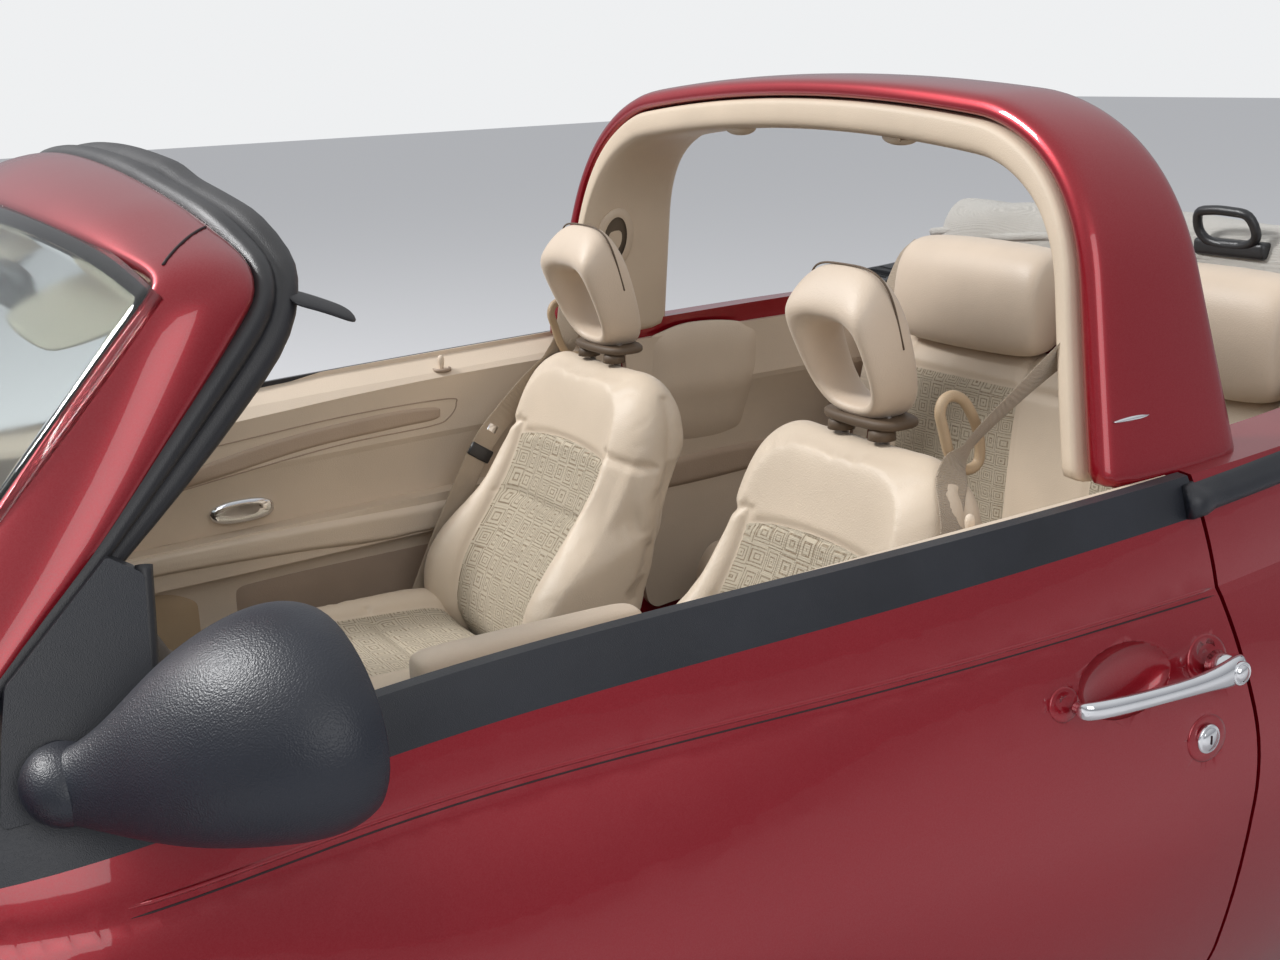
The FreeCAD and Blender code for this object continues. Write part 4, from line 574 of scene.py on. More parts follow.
seam_dark = finish("lining_seam", paint_value(120, 100, 78), 0.7, tone=0.1, pebble=(900.0, 0.0002))
# Darkened lining colour: painted shade that fills each belt opening.
opening_painted_shade = finish("opening_painted_shade", paint_value(88, 76, 62), 0.7, tone=0.2, pebble=(700.0, 0.0002))
BELT_X, BELT_Z = -0.455, 1.20
for side_name, side in SIDES:
    for part, wide, high, proud, crown, look_of in (
            ("bezel", (0.026, 0.016), (0.044, 0.018), 0.007, 0.007, lining),
            ("opening", (0.004, 0.026), (0.006, 0.042), 0.0035, 0.00175, opening_painted_shade)):
        rings = []
        for share, lift in ((1.0, -0.004), (1.0, proud * 0.6), (0.93, proud), (0.0, crown)):
            ring = [(BELT_X + a, BELT_Z + b) for a, b in oval(28, wide[0] + wide[1] * share,
                                                              high[0] + high[1] * share)]
            rings.append([(x, side * (reach_of(hoop_skin, x, z, side, 0.3) - lift), z) for x, z in ring])
        lofted("belt_%s_%s" % (part, side_name), rings, look_of, "interior", capped=part == "opening")

line = [touch(hoop_skin, (-0.565 + 0.15 * n / 14, 0.262 + 0.02 * math.sin(n / 14 * math.pi), 1.2), (0, 0, 1))
        for n in range(15)]
piped("lining_joint", line, 0.0015, 6, seam_dark, "interior")

# Trim bar on the hoop's foot
# A slim polished bar with tapered ends.
chrome = finish("chrome", (0.78, 0.79, 0.81, 1), 0.08, 1.0, tone=0.04, spread=20.0, dusty=0.04)
BAR_Z = 1.088
for side_name, side in SIDES:
    rings = []
    for t in (n / 12 for n in range(13)):
        x = -0.385 - 0.125 * t
        half = 0.0012 + 0.0048 * math.sin(math.pi * t) ** 0.6
        y = reach_of(hoop_skin, x, BAR_Z, side, 1.0)
        rings.append([(x, side * (y + out), BAR_Z + part * half) for out, part in (
            (-0.001, -1), (0.003, -0.5), (0.004, 0), (0.003, 0.5), (-0.001, 1))])
    lofted("hoop_trim_bar_" + side_name, rings, chrome, "chrome", subdivide=1)

# Door mirrors, belt and quarter mouldings
# Satin black moulded plastic with a fine pebbled grain; the mirror glass sits in the housing's rear face.
black_plastic = finish("black_plastic", (0.008, 0.010, 0.016, 1), 0.40, tone=0.25, spread=6.0,
                       pebble=(1100.0, 0.00022), dusty=0.1)
mirror_plastic = finish("mirror_plastic", (0.008, 0.011, 0.020, 1), 0.44, tone=0.15, spread=8.0,
                        pebble=(650.0, 0.0004), dusty=0.06)
dress(black_plastic, "door_left_belt", "door_right_belt", "top_linkage")
dress(mirror_plastic, "mirror_left", "mirror_right")
silvered = finish("mirror_glass", (0.75, 0.78, 0.8, 1), 0.02, 1.0, tone=0.03)
MIRROR_Y, MIRROR_Z = 0.905, 1.044
for side_name, side in SIDES:
    body = "door_" + side_name
    rings = [[(x, side * (MIRROR_Y + a), MIRROR_Z + b) for a, b in oval(40, 0.104 * share, 0.071 * share)]
             for share, x in ((1.0, 0.7035), (1.0, 0.6995), (0.96, 0.6985), (0.45, 0.6980))]
    lofted("mirror_glass_" + side_name, rings, silvered, "chrome", body)
    line = [Vector((0.7025, side * (MIRROR_Y + a), MIRROR_Z + b)) for a, b in oval(40, 0.110, 0.077)]
    piped("mirror_lip_" + side_name, line, 0.004, 8, mirror_plastic, "black_trim", body, closed=True)
    line = smooth_line([on_side(p, side) for p in (
        (0.812, 0.738, 0.975), (0.806, 0.728, 1.035), (0.797, 0.704, 1.095), (0.792, 0.690, 1.128))])
    piped("sail_bead_" + side_name, line, 0.008, 10, rubber, "black_trim", body)

QUARTER_SECTION = ((0.000, -0.004), (0.002, 0.005), (0.010, 0.008), (0.024, 0.008), (0.030, 0.004),
                   (0.036, 0.004), (0.041, -0.002), (0.041, -0.010), (0.0, -0.012))
quarter_skin = skin_of("body_shell")
for side_name, side in SIDES:
    keep("mirror_neck_" + side_name, globe(24, 14, (0.036, 0.046, 0.034), (0.899, side * 0.790, 0.985)),
         mirror_plastic, "black_trim", "door_" + side_name)
    rings = []
    for x in (-0.462 - 1.02 * n / 40 for n in range(41)):
        rise = min(1.0, max(0.0, (-x - 0.46) / 0.9))
        z = 0.962 + 0.0287 * (-x - 0.462) + 0.034 * rise
        rings.append([(x, side * (reach_of(quarter_skin, x, z + up_by, side, 1.1) + lift), z + up_by)
                      for up_by, lift in QUARTER_SECTION])
    lofted("quarter_moulding_" + side_name, rings, black_plastic, "black_trim")

# Door skins
# Pressed steel doors: each has a sharp swage line along its shoulder and an oval bowl pressed in behind the handle.
# A thin dark bar just below each swage line is painted shade, the shadow under its step.
SWAGE_Z = 0.866
for side_name, side in SIDES:
    node = "door_" + side_name
    shell = bmesh.new()
    shell.from_mesh(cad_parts[node].data)
    bmesh.ops.remove_doubles(shell, verts=shell.verts, dist=1e-5)
    door = keep("door_skin_" + side_name, shell, lacquer, "paint", node, smooth=False, instead_of=(node,))
    hollow = meshed("bowl_cutter", globe(48, 24, (0.080, 0.027, 0.050), (-0.322, side * 0.824, 0.795)))
    hollow.materials.append(lacquer)
    cut = door.modifiers.new("bowl", "BOOLEAN")
    cut.operation, cut.solver, cut.object = "DIFFERENCE", "EXACT", set_out("bowl_cutter", hollow)
    bpy.context.view_layer.update()
    pressed = bpy.data.meshes.new_from_object(door.evaluated_get(bpy.context.evaluated_depsgraph_get()))
    bpy.data.objects.remove(cut.object)
    door.modifiers.clear()
    door.data = pressed
    for face in pressed.polygons:
        face.use_smooth = True
    pressed.set_sharp_from_angle(angle=math.radians(28))
    even = door.modifiers.new("even", "WEIGHTED_NORMAL")
    even.keep_sharp, even.weight = True, 100
    door_face = skin_of(node)
    # The second, thin near-black bar is painted shade: the shadow under the swage's step.
    for part, drop, radius, look_of in (("door_swage", 0.0, 0.0034, lacquer),
                                        ("swage_painted_shade", -0.009, 0.0013, joint_and_shade_black)):
        line = [touch(door_face, (0.868 - 1.372 * n / 60, side * 1.1, SWAGE_Z + drop), (0, -side, 0))
                - Vector((0, side * radius * 0.45, 0)) for n in range(61)]
        piped("%s_%s" % (part, side_name), line, radius, 8, look_of, "paint", node, tips=0.4)


# Door handle, bowl and lock
# A die-cast chromed bar that tapers to its front end, with a ringed thumb button at its rear end. A round chromed
# lock cylinder sits below the button.
def bar_of(size, place, edge, turn=0, steps=3):
    """A block with rounded edges, turned round a line across the car."""
    form = bmesh.new()
    bmesh.ops.create_cube(form, size=1.0)
    bmesh.ops.scale(form, vec=size, verts=form.verts)
    bmesh.ops.bevel(form, geom=form.edges[:], offset=edge, segments=steps, profile=0.5, affect="EDGES", material=-1)
    bmesh.ops.rotate(form, verts=form.verts, matrix=Matrix.Rotation(math.radians(turn), 3, "Y"))
    bmesh.ops.translate(form, vec=place, verts=form.verts)
    return form


# Stations of the handle: x, y and z of its middle, its reach outwards and its half height
HANDLE = ((-0.2135, 0.8465, 0.7875, 0.002, 0.004), (-0.2145, 0.850, 0.7875, 0.005, 0.009),
          (-0.219, 0.8535, 0.7875, 0.008, 0.0115), (-0.235, 0.8585, 0.787, 0.009, 0.012),
          (-0.275, 0.8645, 0.7865, 0.0085, 0.0115), (-0.330, 0.8690, 0.786, 0.0085, 0.011),
          (-0.385, 0.8705, 0.785, 0.009, 0.0115), (-0.425, 0.8695, 0.7845, 0.010, 0.0145),
          (-0.450, 0.8670, 0.784, 0.011, 0.0185), (-0.474, 0.8630, 0.784, 0.011, 0.0205),
          (-0.486, 0.8600, 0.784, 0.009, 0.0175), (-0.4905, 0.8580, 0.784, 0.005, 0.009))
LOCK_X, LOCK_Z = -0.455, 0.687
for side_name, side in SIDES:
    body = "door_" + side_name
    rings = [[(x, side * (y + a), z + b) for a, b in oval(16, wide, high, 0.8)] for x, y, z, wide, high in HANDLE]
    lofted("handle_bar_" + side_name, rings, chrome, "chrome", body, subdivide=1,
           instead_of=("door_%s_handle" % side_name,))
    foot = bmesh.new()
    for x, y_in, y_out, half in ((-0.226, 0.835, 0.860, 0.0085), (-0.465, 0.835, 0.862, 0.0185)):
        made = bmesh.ops.create_cone(foot, cap_ends=True, segments=16, radius1=half, radius2=half * 0.85,
                                     depth=y_out - y_in)["verts"]
        bmesh.ops.rotate(foot, verts=made, matrix=Matrix.Rotation(math.radians(-90 * side), 3, "X"))
        bmesh.ops.translate(foot, verts=made, vec=(x, side * (y_in + y_out) / 2, 0.785))
    keep("handle_feet_" + side_name, foot, chrome, "chrome", body)
    door_skin = skin_of(body)
    for part, at_x, at_z, reach in (("handle_pad_front", -0.218, 0.786, 0.0225),
                                    ("handle_pad_rear", -0.467, 0.7845, 0.0345),
                                    ("lock_pad", LOCK_X, LOCK_Z, 0.0330)):
        bed = [(a, b, reach_of(door_skin, at_x + a, at_z + b, side, 1.0))
               for a, b in oval(32, reach * 1.06, reach * 0.94)]
        rings = [[(at_x + a * share, side * (y + lift), at_z + b * share) for a, b, y in bed]
                 for share, lift in ((1.0, -0.003), (1.0, 0.0003), (0.90, 0.0013), (0.70, 0.0020), (0.3, 0.0022))]
        lofted("%s_%s" % (part, side_name), rings, lacquer, "paint", body)
    base = max(reach_of(door_skin, LOCK_X + step, LOCK_Z, side, 1.0) for step in (-0.020, 0.020)) + 0.002
    for part, at_x, at_z, reach, steps in (
            ("handle_button", -0.467, 0.784, 0.0155, ((1.0, 0.868), (1.0, 0.8765), (0.86, 0.8785), (0.80, 0.8760),
                                                      (0.72, 0.8760), (0.66, 0.8790), (0.2, 0.8800))),
            ("lock_disc", LOCK_X, LOCK_Z, 0.0175, [(share, base + out) for share, out in (
                (1.12, -0.002), (1.12, 0.0015), (1.02, 0.0035), (0.90, 0.0025), (0.84, 0.0045), (0.2, 0.0055))])):
        rings = [[(at_x + a, side * y, at_z + b) for a, b in oval(32, reach * share)] for share, y in steps]
        lofted("%s_%s" % (part, side_name), rings, chrome, "chrome", body)
    keep("lock_slit_" + side_name, bar_of((0.0022, 0.003, 0.012), (LOCK_X, side * (base + 0.0052), LOCK_Z), 0.0006,
                                          steps=2), joint_and_shade_black, "black_trim", body)

# Front seats
# Foam on a steel frame under a sewn cover: smooth beige vinyl on the wings, sides and shoulders, and a woven cloth
# panel of small boxed figures down the middle. Sewn seams pull the cover in. One seat is made, and mirrored.
SEAT_Y = 0.368
BACK_SIDE = [(-.110, .470), (.010, .470), (.028, .640), (-.049, .716), (-.160, .834), (-.200, .935), (-.244, 1.038),
             (-.308, 1.036), (-.325, .975), (-.299, .880), (-.200, .520)]
BACK_MID = [(-.110, .470), (-.020, .470), (-.050, .640), (-.120, .716), (-.192, .834), (-.218, .935), (-.244, 1.040),
            (-.308, 1.038), (-.325, .975), (-.299, .880), (-.200, .520)]
CUSHION_SIDE = [(-.095, .445), (.425, .445), (.444, .560), (.385, .610), (.060, .598), (-.060, .598)]
CUSHION_MID = [(-.095, .445), (.425, .445), (.440, .545), (.380, .585), (.160, .556), (-.060, .552)]
HALF_WIDTHS = (0.17, 0.35, 0.52, 0.62, 0.70, 0.78, 0.87, 0.94, 0.985, 1.0)
SHRINK, SEAM_DEPTH, PANEL_MARK = 0.006, 0.0065, 0.01


def wing_share(reach, inner, outer):
    """0 on the middle panel, 1 on the wing, smooth between."""
    t = min(1, max(0, (reach - inner) / (outer - inner)))
    return t * t * (3 - 2 * t)


def rounding(reach):
    """How far a quarter circle has fallen at a share of its radius."""
    return 1 - math.sqrt(max(0.0, 1 - min(1.0, max(0.0, reach)) ** 2))


def pad(sides, middle, half, corner, level=0.0, shoulder=0.0):
    """Closed pad from its side profile on the wings and its middle profile, rounded towards its two sides."""
    form = bmesh.new()
    heart = Vector((sum(p[0] for p in middle) / len(middle), sum(p[1] for p in middle) / len(middle)))
    rings = []
    for share in [-s for s in HALF_WIDTHS[::-1]] + [0, *HALF_WIDTHS]:
        y = share * half
        wing = wing_share(abs(share), 0.56, 0.78)
        tuck = rounding((abs(y) - (half - corner)) / corner)
        drop = shoulder * rounding((abs(y) - (half - shoulder)) / shoulder) if shoulder else 0.0
        ring = []
        for side_place, middle_place in zip(sides, middle):
            place = Vector(middle_place).lerp(Vector(side_place), wing)
            place += (heart - place).normalized() * (SHRINK + tuck * corner * 0.62)
            high = wing_share(place.y, level, level + 0.24) if shoulder else 0.0
            ring.append((place.x, y * (1 - SHRINK / half), place.y - drop * high * 0.8))
        rings.append(ring)
    loft(form, rings)
    return form


def stuffed(name, form, voxel, cap, pressure=4.0):
    """Remesh a closed pad, let Blender's cloth swell it, hold each point to the cap, and keep the result."""
    bmesh.ops.triangulate(form, faces=[f for f in form.faces if len(f.verts) > 4])
    piece = set_out(name, meshed(name, form))
    rounded(piece, 2)
    grid = piece.modifiers.new("grid", "REMESH")
    grid.mode, grid.voxel_size = "VOXEL", voxel
    bpy.context.view_layer.update()
    made = bpy.data.meshes.new_from_object(piece.evaluated_get(bpy.context.evaluated_depsgraph_get()))
    piece.modifiers.clear()
    piece.data = made
    cloth = piece.modifiers.new("cover", "CLOTH")
    cloth.settings.use_pressure = True
    cloth.settings.uniform_pressure_force = pressure
    cloth.settings.effector_weights.gravity = 0
    cloth.settings.quality = 4
    cloth.collision_settings.use_collision = False
    for step in range(1, 21):
        bpy.context.scene.frame_set(step)
    swollen = piece.evaluated_get(bpy.context.evaluated_depsgraph_get()).to_mesh()
    places = [v.co.copy() for v in swollen.vertices]
    piece.modifiers.clear()
    bpy.context.scene.frame_set(1)
    for vert, new in zip(made.vertices, places):
        move = new - vert.co
        vert.co += move * min(1.0, cap / max(move.length, 1e-9))
    return piece


def sewn(piece, seam, panel, width=0.0075):
    """Press seams into a pad and mark its cloth panel: seam gives each point's distance to the nearest seam, and
    panel how far inside the panel it lies."""
    form = bmesh.new()
    form.from_mesh(piece.data)
    bmesh.ops.smooth_vert(form, verts=form.verts, factor=0.5, use_axis_x=True, use_axis_y=True, use_axis_z=True)
    form.normal_update()
    marks = [max(-PANEL_MARK, min(PANEL_MARK, panel(v.co, v.normal))) for v in form.verts]
    for vert in form.verts:
        vert.co -= vert.normal * SEAM_DEPTH * math.exp(-(seam(vert.co, vert.normal) / width) ** 2)
    form.to_mesh(piece.data)
    form.free()
    piece.data.attributes.new("panel", "FLOAT", "POINT").data.foreach_set("value", marks)
    for face in piece.data.polygons:
        face.use_smooth = True


def across_car(piece, name):
    """Mirrored copy of a pad on the other side of the car."""
    form = bmesh.new()
    form.from_mesh(piece.data)
    bmesh.ops.scale(form, vec=(1, -1, 1), verts=form.verts)
    bmesh.ops.reverse_faces(form, faces=form.faces)
    copy = set_out(name, meshed(name, form))
    for material in piece.data.materials:
        copy.data.materials.append(material)
    rounded(copy, 1)
    return copy


weave, given, result = effect("weave", "Height", Vector=None, Scale=900)
threads = [lay(weave, "TexWave", {"Vector": given["Vector"], "Scale": given["Scale"], "Distortion": 0.6,
                                  "Detail": 0.0}, bands_direction=way).outputs[1] for way in "XYZ"]
woven_height = reckon(weave, "ADD", reckon(weave, "ADD", threads[0], threads[1]), threads[2])
weave.links.new(woven_height.outputs[0], result)

# Boxed figures: two grids of cells across the panel, each cell holding nested rectangles of its own proportion
boxes, given, result = effect("boxed_figures", "Line", Across=0, Along=0, Cell=0.03)
layers = []
for shift, grow in ((0.0, 1.0), (0.37, 0.62)):
    cells, reaches = [], []
    for way in ("Across", "Along"):
        moved = reckon(boxes, "MULTIPLY_ADD", reckon(boxes, "DIVIDE", given[way], given["Cell"]), grow, shift)
        cells.append(reckon(boxes, "FLOOR", moved))
        centred = reckon(boxes, "SUBTRACT", reckon(boxes, "SUBTRACT", moved, cells[-1]), 0.5)
        reaches.append(reckon(boxes, "ABSOLUTE", centred))
    cell = lay(boxes, "CombineXYZ", {0: cells[0], 1: cells[1], 2: shift})
    chance = lay(boxes, "SeparateXYZ", {0: lay(boxes, "TexWhiteNoise", {"Vector": cell}).outputs["Color"]})
    sizes = [reckon(boxes, "MULTIPLY_ADD", chance.outputs[n], 0.9, 0.75) for n in (0, 1)]
    ring = reckon(boxes, "MAXIMUM", *(reckon(boxes, "MULTIPLY", r, s) for r, s in zip(reaches, sizes)))
    turns = reckon(boxes, "MULTIPLY_ADD", ring, 5.0, chance.outputs[2])
    layers.append(reckon(boxes, "LESS_THAN", reckon(boxes, "FRACT", turns), 0.36))
most = reckon(boxes, "MULTIPLY_ADD", layers[0], 0.7, reckon(boxes, "MULTIPLY", *layers), use_clamp=True)
boxes.links.new(most.outputs[0], result)


def seat_cover(name, along):
    """Vinyl with a cloth panel where the panel attribute is above 0; along is the axis that the panel runs on."""
    made = finish(name, paint_value(206, 189, 168), 0.5, tone=0.05, spread=7.0, pebble=(520.0, 0.0003),
                  sheen_weight=0.15, sheen_roughness=0.4)
    tree, shader, place = insides(made)
    axes = lay(tree, "SeparateXYZ", {0: place}).outputs
    figures = lay(tree, "Group", {"Across": axes["Y"], "Along": axes[along], "Cell": 0.034}, node_tree=boxes)
    cloth = blended(tree, figures, paint_value(212, 199, 176), paint_value(158, 138, 112))
    mark = lay(tree, "Attribute", attribute_name="panel").outputs["Fac"]
    inside = reckon(tree, "GREATER_THAN", mark, 0.0)
    tree.links.new(blended(tree, inside, tree.nodes["colour"].outputs[2], cloth), shader.inputs["Base Color"])
    tree.links.new(reckon(tree, "MULTIPLY_ADD", inside, 0.35, 0.5).outputs[0], shader.inputs["Roughness"])
    knit = lay(tree, "Group", {"Vector": place, "Scale": 260.0}, node_tree=weave)
    raised = lay(tree, "Bump", {"Height": reckon(tree, "MULTIPLY_ADD", figures, -1.2, knit), "Distance": 0.0005})
    mixed = lay(tree, "Mix", {0: inside, 4: tree.nodes["grain"], 5: raised}, data_type="VECTOR")
    tree.links.new(mixed.outputs[1], shader.inputs["Normal"])
    return made


back_cover = seat_cover("seat_back_cover", "Z")
cushion_cover = seat_cover("seat_cushion_cover", "X")
vinyl = finish("seat_vinyl", paint_value(204, 186, 166), 0.48, tone=0.05, spread=7.0, pebble=(520.0, 0.0003),
               sheen_weight=0.15)
AWAY = 1.0


def back_seam(place, normal):
    """Distance from the nearest seam of the seat back."""
    reach = abs(place.y)
    if normal.x < 0.1:
        ridge = abs(place.x + 0.285 - (1.0 - place.z) * 0.12)
        return ridge if reach > 0.2 and place.z > 0.55 else AWAY
    seams = [abs(reach - (0.140 + 0.035 * (place.z - 0.55))) if place.z < 0.90 else AWAY]
    if reach < 0.155:
        seams += [abs(place.z - 0.888 + 0.6 * reach ** 2), abs(place.z - 0.775)]
    elif place.z > 0.84:
        seams.append(abs(place.z - 0.90 + 0.30 * (reach - 0.15)))
    return min(seams)


def back_panel(place, normal):
    """How far inside the cloth panel of the seat back."""
    if normal.x < 0.1:
        return -AWAY
    return min(0.140 + 0.035 * (place.z - 0.55) - abs(place.y), 0.888 - 0.6 * place.y * place.y - place.z)


def cushion_seam(place, normal):
    """Distance from the nearest seam of the cushion."""
    reach = abs(place.y)
    if normal.z < 0.1:
        return abs(place.z - 0.535) if reach > 0.2 or place.x > 0.41 else AWAY
    seams = [abs(reach - 0.155) if place.x < 0.35 else AWAY]
    if reach < 0.17:
        seams += [abs(place.x - 0.345), abs(place.x - 0.14)]
    return min(seams)


def cushion_panel(place, normal):
    """How far inside the cloth panel of the cushion."""
    return min(0.155 - abs(place.y), 0.345 - place.x) if normal.z >= 0.1 else -AWAY


def upholstered(name, form, voxel, cap, seam, panel, cover, node, *, width=0.0075, seat_y=None):
    """Stuff and sew a pad; with a seat_y it stands there as name_left, and its mirror image across the car."""
    piece = stuffed(name + "_left" if seat_y else name, form, voxel, cap)
    sewn(piece, seam, panel, width)
    piece.data.materials.append(cover)
    piece.data.transform(Matrix.Translation((0, seat_y or 0, 0)))
    rounded(piece, 1)
    pieces = [piece, across_car(piece, name + "_right")] if seat_y else [piece]
    for piece in pieces:
        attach(piece, "chassis")
        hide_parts(node)


upholstered("seat_back", pad(BACK_SIDE, BACK_MID, 0.238, 0.045, 0.78, 0.10), 0.0065, 0.012, back_seam, back_panel,
            back_cover, "front_seat_backs", seat_y=SEAT_Y)
upholstered("seat_cushion", pad(CUSHION_SIDE, CUSHION_MID, 0.248, 0.04), 0.0065, 0.012, cushion_seam,
            cushion_panel, cushion_cover, "front_seat_cushions", seat_y=SEAT_Y)

# Headrests
# Moulded foam rings in smooth vinyl, open in the middle, that lean forward. Each has a plastic shelf under it and
# stands on two steel posts in collars; shelf and collars are beige plastic darkened with painted shade.
post_steel = finish("post_steel", (0.55, 0.55, 0.56, 1), 0.25, 1.0, tone=0.05, pebble=(900.0, 0.0001))
# Darkened beige: real dark trim (anchors, buckles, seams, stitching) and painted shade on headrest shelves and
# collars.
dark_trim_and_shade = finish("dark_trim_and_shade", paint_value(92, 76, 60), 0.6, tone=0.15, pebble=(800.0, 0.0002))
apron_plastic = finish("apron_plastic", paint_value(176, 152, 122), 0.55, tone=0.06, pebble=(700.0, 0.0003))
HEAD_Z, HOLE_Z = 1.155, 1.128
for side_name, side in SIDES:
    seat_y = side * SEAT_Y
    rings = []
    for outer, inner in zip(oval(28, 0.090, 0.110, 0.68, 0.68), oval(28, 0.059, 0.056, 0.7, 0.7)):
        outer, inner = Vector((outer[0], HEAD_Z + outer[1])), Vector((inner[0], HOLE_Z + inner[1]))
        outer.x *= 1.0 + 0.10 * (outer.y - HEAD_Z) / 0.109
        inner.x *= 1.0 + 0.06 * (inner.y - 1.130) / 0.056
        ring = []
        for across_by, along_by in oval(16, 1.0, 1.0, 0.9, 0.82):
            flat = (outer + inner) / 2 + (outer - inner) / 2 * across_by
            climb = (flat.y - 1.046) / 0.176
            front = -0.262 + 0.076 * climb - 0.024 * max(0.0, climb - 0.9) / 0.3
            rear = -0.334 + 0.050 * climb
            front -= 0.030 * max(0.0, climb - 0.85) / 0.35
            ring.append(((front + rear) / 2 + (front - rear) / 2 * along_by, side * (SEAT_Y + flat.x), flat.y))
        rings.append(ring)
    head = bmesh.new()
    loft(head, rings + rings[:1], capped=False)
    welded(head, 1e-6)
    keep("headrest_" + side_name, head, vinyl, "seat_cover", subdivide=2, instead_of=("front_headrests",), fill=1.0)
    line = []
    for angle in (math.pi * n / 40 for n in range(41)):
        y = 0.0885 * squared(math.cos(angle), 0.55) * (1.0 + 0.10 * math.sin(angle))
        z = HEAD_Z + 0.1095 * squared(math.sin(angle), 0.55)
        line.append(Vector((-0.308 + 0.050 * (z - 1.046) / 0.176, seat_y + y, z)))
    piped("headrest_seam_" + side_name, line, 0.0016, 6, dark_trim_and_shade, "seat_cover")
    rings = [[(-0.292 + b, seat_y + a, z) for a, b in oval(24, 0.080 * share, 0.040 * share, 0.6, 0.7)]
             for share, z in ((0.94, 1.040), (1.0, 1.043), (1.0, 1.050), (0.94, 1.053))]
    # The shelf under each headrest is darkened as painted shade.
    lofted("headrest_shelf_" + side_name, rings, dark_trim_and_shade, "interior")
    posts, collars = bmesh.new(), bmesh.new()
    for y in (seat_y - 0.045, seat_y + 0.045):
        tube(posts, [Vector((-0.282, y, 1.0)), Vector((-0.288, y, 1.06))], 0.0055, 12)
        loft(collars, [[(-0.276 + a, y + b, z) for a, b in oval(20, reach)]
                       for reach, z in ((0.020, 1.024), (0.019, 1.036), (0.015, 1.040), (0.007, 1.041))])
    keep("headrest_posts_" + side_name, posts, post_steel, "chrome")
    # The collars are darkened as painted shade too.
    keep("headrest_collars_" + side_name, collars, dark_trim_and_shade, "interior")

# Belt guides, belts and buckles
# A bent, vinyl-covered loop on each seat's outer shoulder holds the belt, a flat woven band that comes from the hoop
# and runs down the seat's side to its anchor. The latch tongue hangs on it, and each buckle stands by the tunnel.


def woven(material, scale):
    """Give a finish the weave of cloth."""
    tree, _, place = insides(material)
    emboss(material, lay(tree, "Group", {"Vector": place, "Scale": scale}, node_tree=weave), 0.0006)


webbing = finish("belt_webbing", paint_value(178, 160, 138), 0.75, tone=0.05, spread=30.0, sheen_weight=0.3)
woven(webbing, 170.0)
tongue_black = finish("tongue_black", (0.02, 0.02, 0.022, 1), 0.35, tone=0.2, pebble=(900.0, 0.0002))
BELT_WIDE, BELT_THICK = 0.046, 0.0016


def band(name, line, flats, **how):
    """Belt along a line; flats gives the direction across it at points evenly spread over the line."""
    count = len(line)
    rings = []
    for n, place in enumerate(line):
        way = (line[min(n + 1, count - 1)] - line[max(n - 1, 0)]).normalized()
        share = n / (count - 1) * (len(flats) - 1)
        low = min(int(share), len(flats) - 2)
        flat = Vector(flats[low]).lerp(Vector(flats[low + 1]), share - low)
        flat = (flat - way * flat.dot(way)).normalized() * BELT_WIDE / 2
        thick = way.cross(flat).normalized() * BELT_THICK / 2
        rings.append([place + flat * a + thick * b for a, b in (
            (-1, -0.4), (-0.9, -1), (0.9, -1), (1, -0.4), (1, 0.4), (0.9, 1), (-0.9, 1), (-1, 0.4))])
    lofted(name, rings, webbing, "interior", **how)


for side_name, side, hoop_point in (("left", 1, (-0.430, 0.654, 1.200)), ("right", -1, (-0.452, 0.656, 1.200))):
    line = smooth_line([(x, side * 0.540, z) for x, z in (
        (-0.268, 1.085), (-0.275, 1.101), (-0.292, 1.104), (-0.312, 1.091), (-0.334, 1.052), (-0.338, 1.012),
        (-0.322, 1.000), (-0.298, 1.006), (-0.284, 1.030), (-0.274, 1.062))], steps=4, closed=True)
    piped("belt_guide_" + side_name, line, 0.0075, 12, apron_plastic, "interior", closed=True)
    line = smooth_line([on_side(p, side) for p in (
        hoop_point, (-0.356, 0.606, 1.118), (-0.305, 0.552, 1.035), (-0.272, 0.560, 0.995), (-0.236, 0.600, 0.935),
        (-0.200, 0.6192, 0.890), (-0.150, 0.6195, 0.838), (-0.104, 0.6195, 0.761), (-0.036, 0.6195, 0.636),
        (0.034, 0.6195, 0.480), (0.070, 0.6195, 0.330))], steps=5)
    band("seat_belt_" + side_name, line, [on_side(p, side) for p in (
        (1.0, 0, 0.4), (0.9, 0.3, 0.3), (0.8, 0.5, 0.3), (0.6, -0.5, 0.6), (0.7, 0, 0.7), (0.7, 0, 0.7),
        (0.8, 0, 0.5), (0.8, 0, 0.5), (0.8, 0, 0.4), (0.9, 0, 0.3), (0.9, 0, 0.2))], instead_of=("seat_belts",))
    for part, size, place, edge, turn, steps, look_of, slot in (
            ("belt_tongue", (0.050, 0.010, 0.026), (-0.142, 0.6195, 0.822), 0.003, -34, 2, tongue_black,
             "black_trim"),
            ("tongue_blade", (0.022, 0.0022, 0.040), (-0.165, 0.6205, 0.855), 0.001, -34, 1, chrome, "chrome"),
            ("belt_anchor", (0.060, 0.006, 0.034), (0.072, 0.6195, 0.335), 0.0025, 12, 2, dark_trim_and_shade, "interior"),
            ("belt_buckle", (0.036, 0.020, 0.075), (-0.050, 0.1085, 0.590), 0.005, -18, 3, dark_trim_and_shade,
             "interior")):
        keep("%s_%s" % (part, side_name), bar_of(size, on_side(place, side), edge, turn, steps), look_of, slot)

# Armrest between the seats
# A foam pad in the seats' vinyl, over the tunnel.
rings = [[(x, 0.095 + a, 0.711 + b) for a, b in oval(20, 0.0325 * share, 0.032 * share, 0.65, 0.65)]
         for share, x in ((0.60, -0.062), (0.86, -0.054), (0.97, -0.036), (1.0, 0.0), (1.0, 0.11), (1.0, 0.22),
                          (0.99, 0.280), (0.88, 0.302), (0.62, 0.311))]
lofted("armrest_pad", rings, vinyl, "seat_cover", subdivide=2, instead_of=("armrest",), fill=0.95)

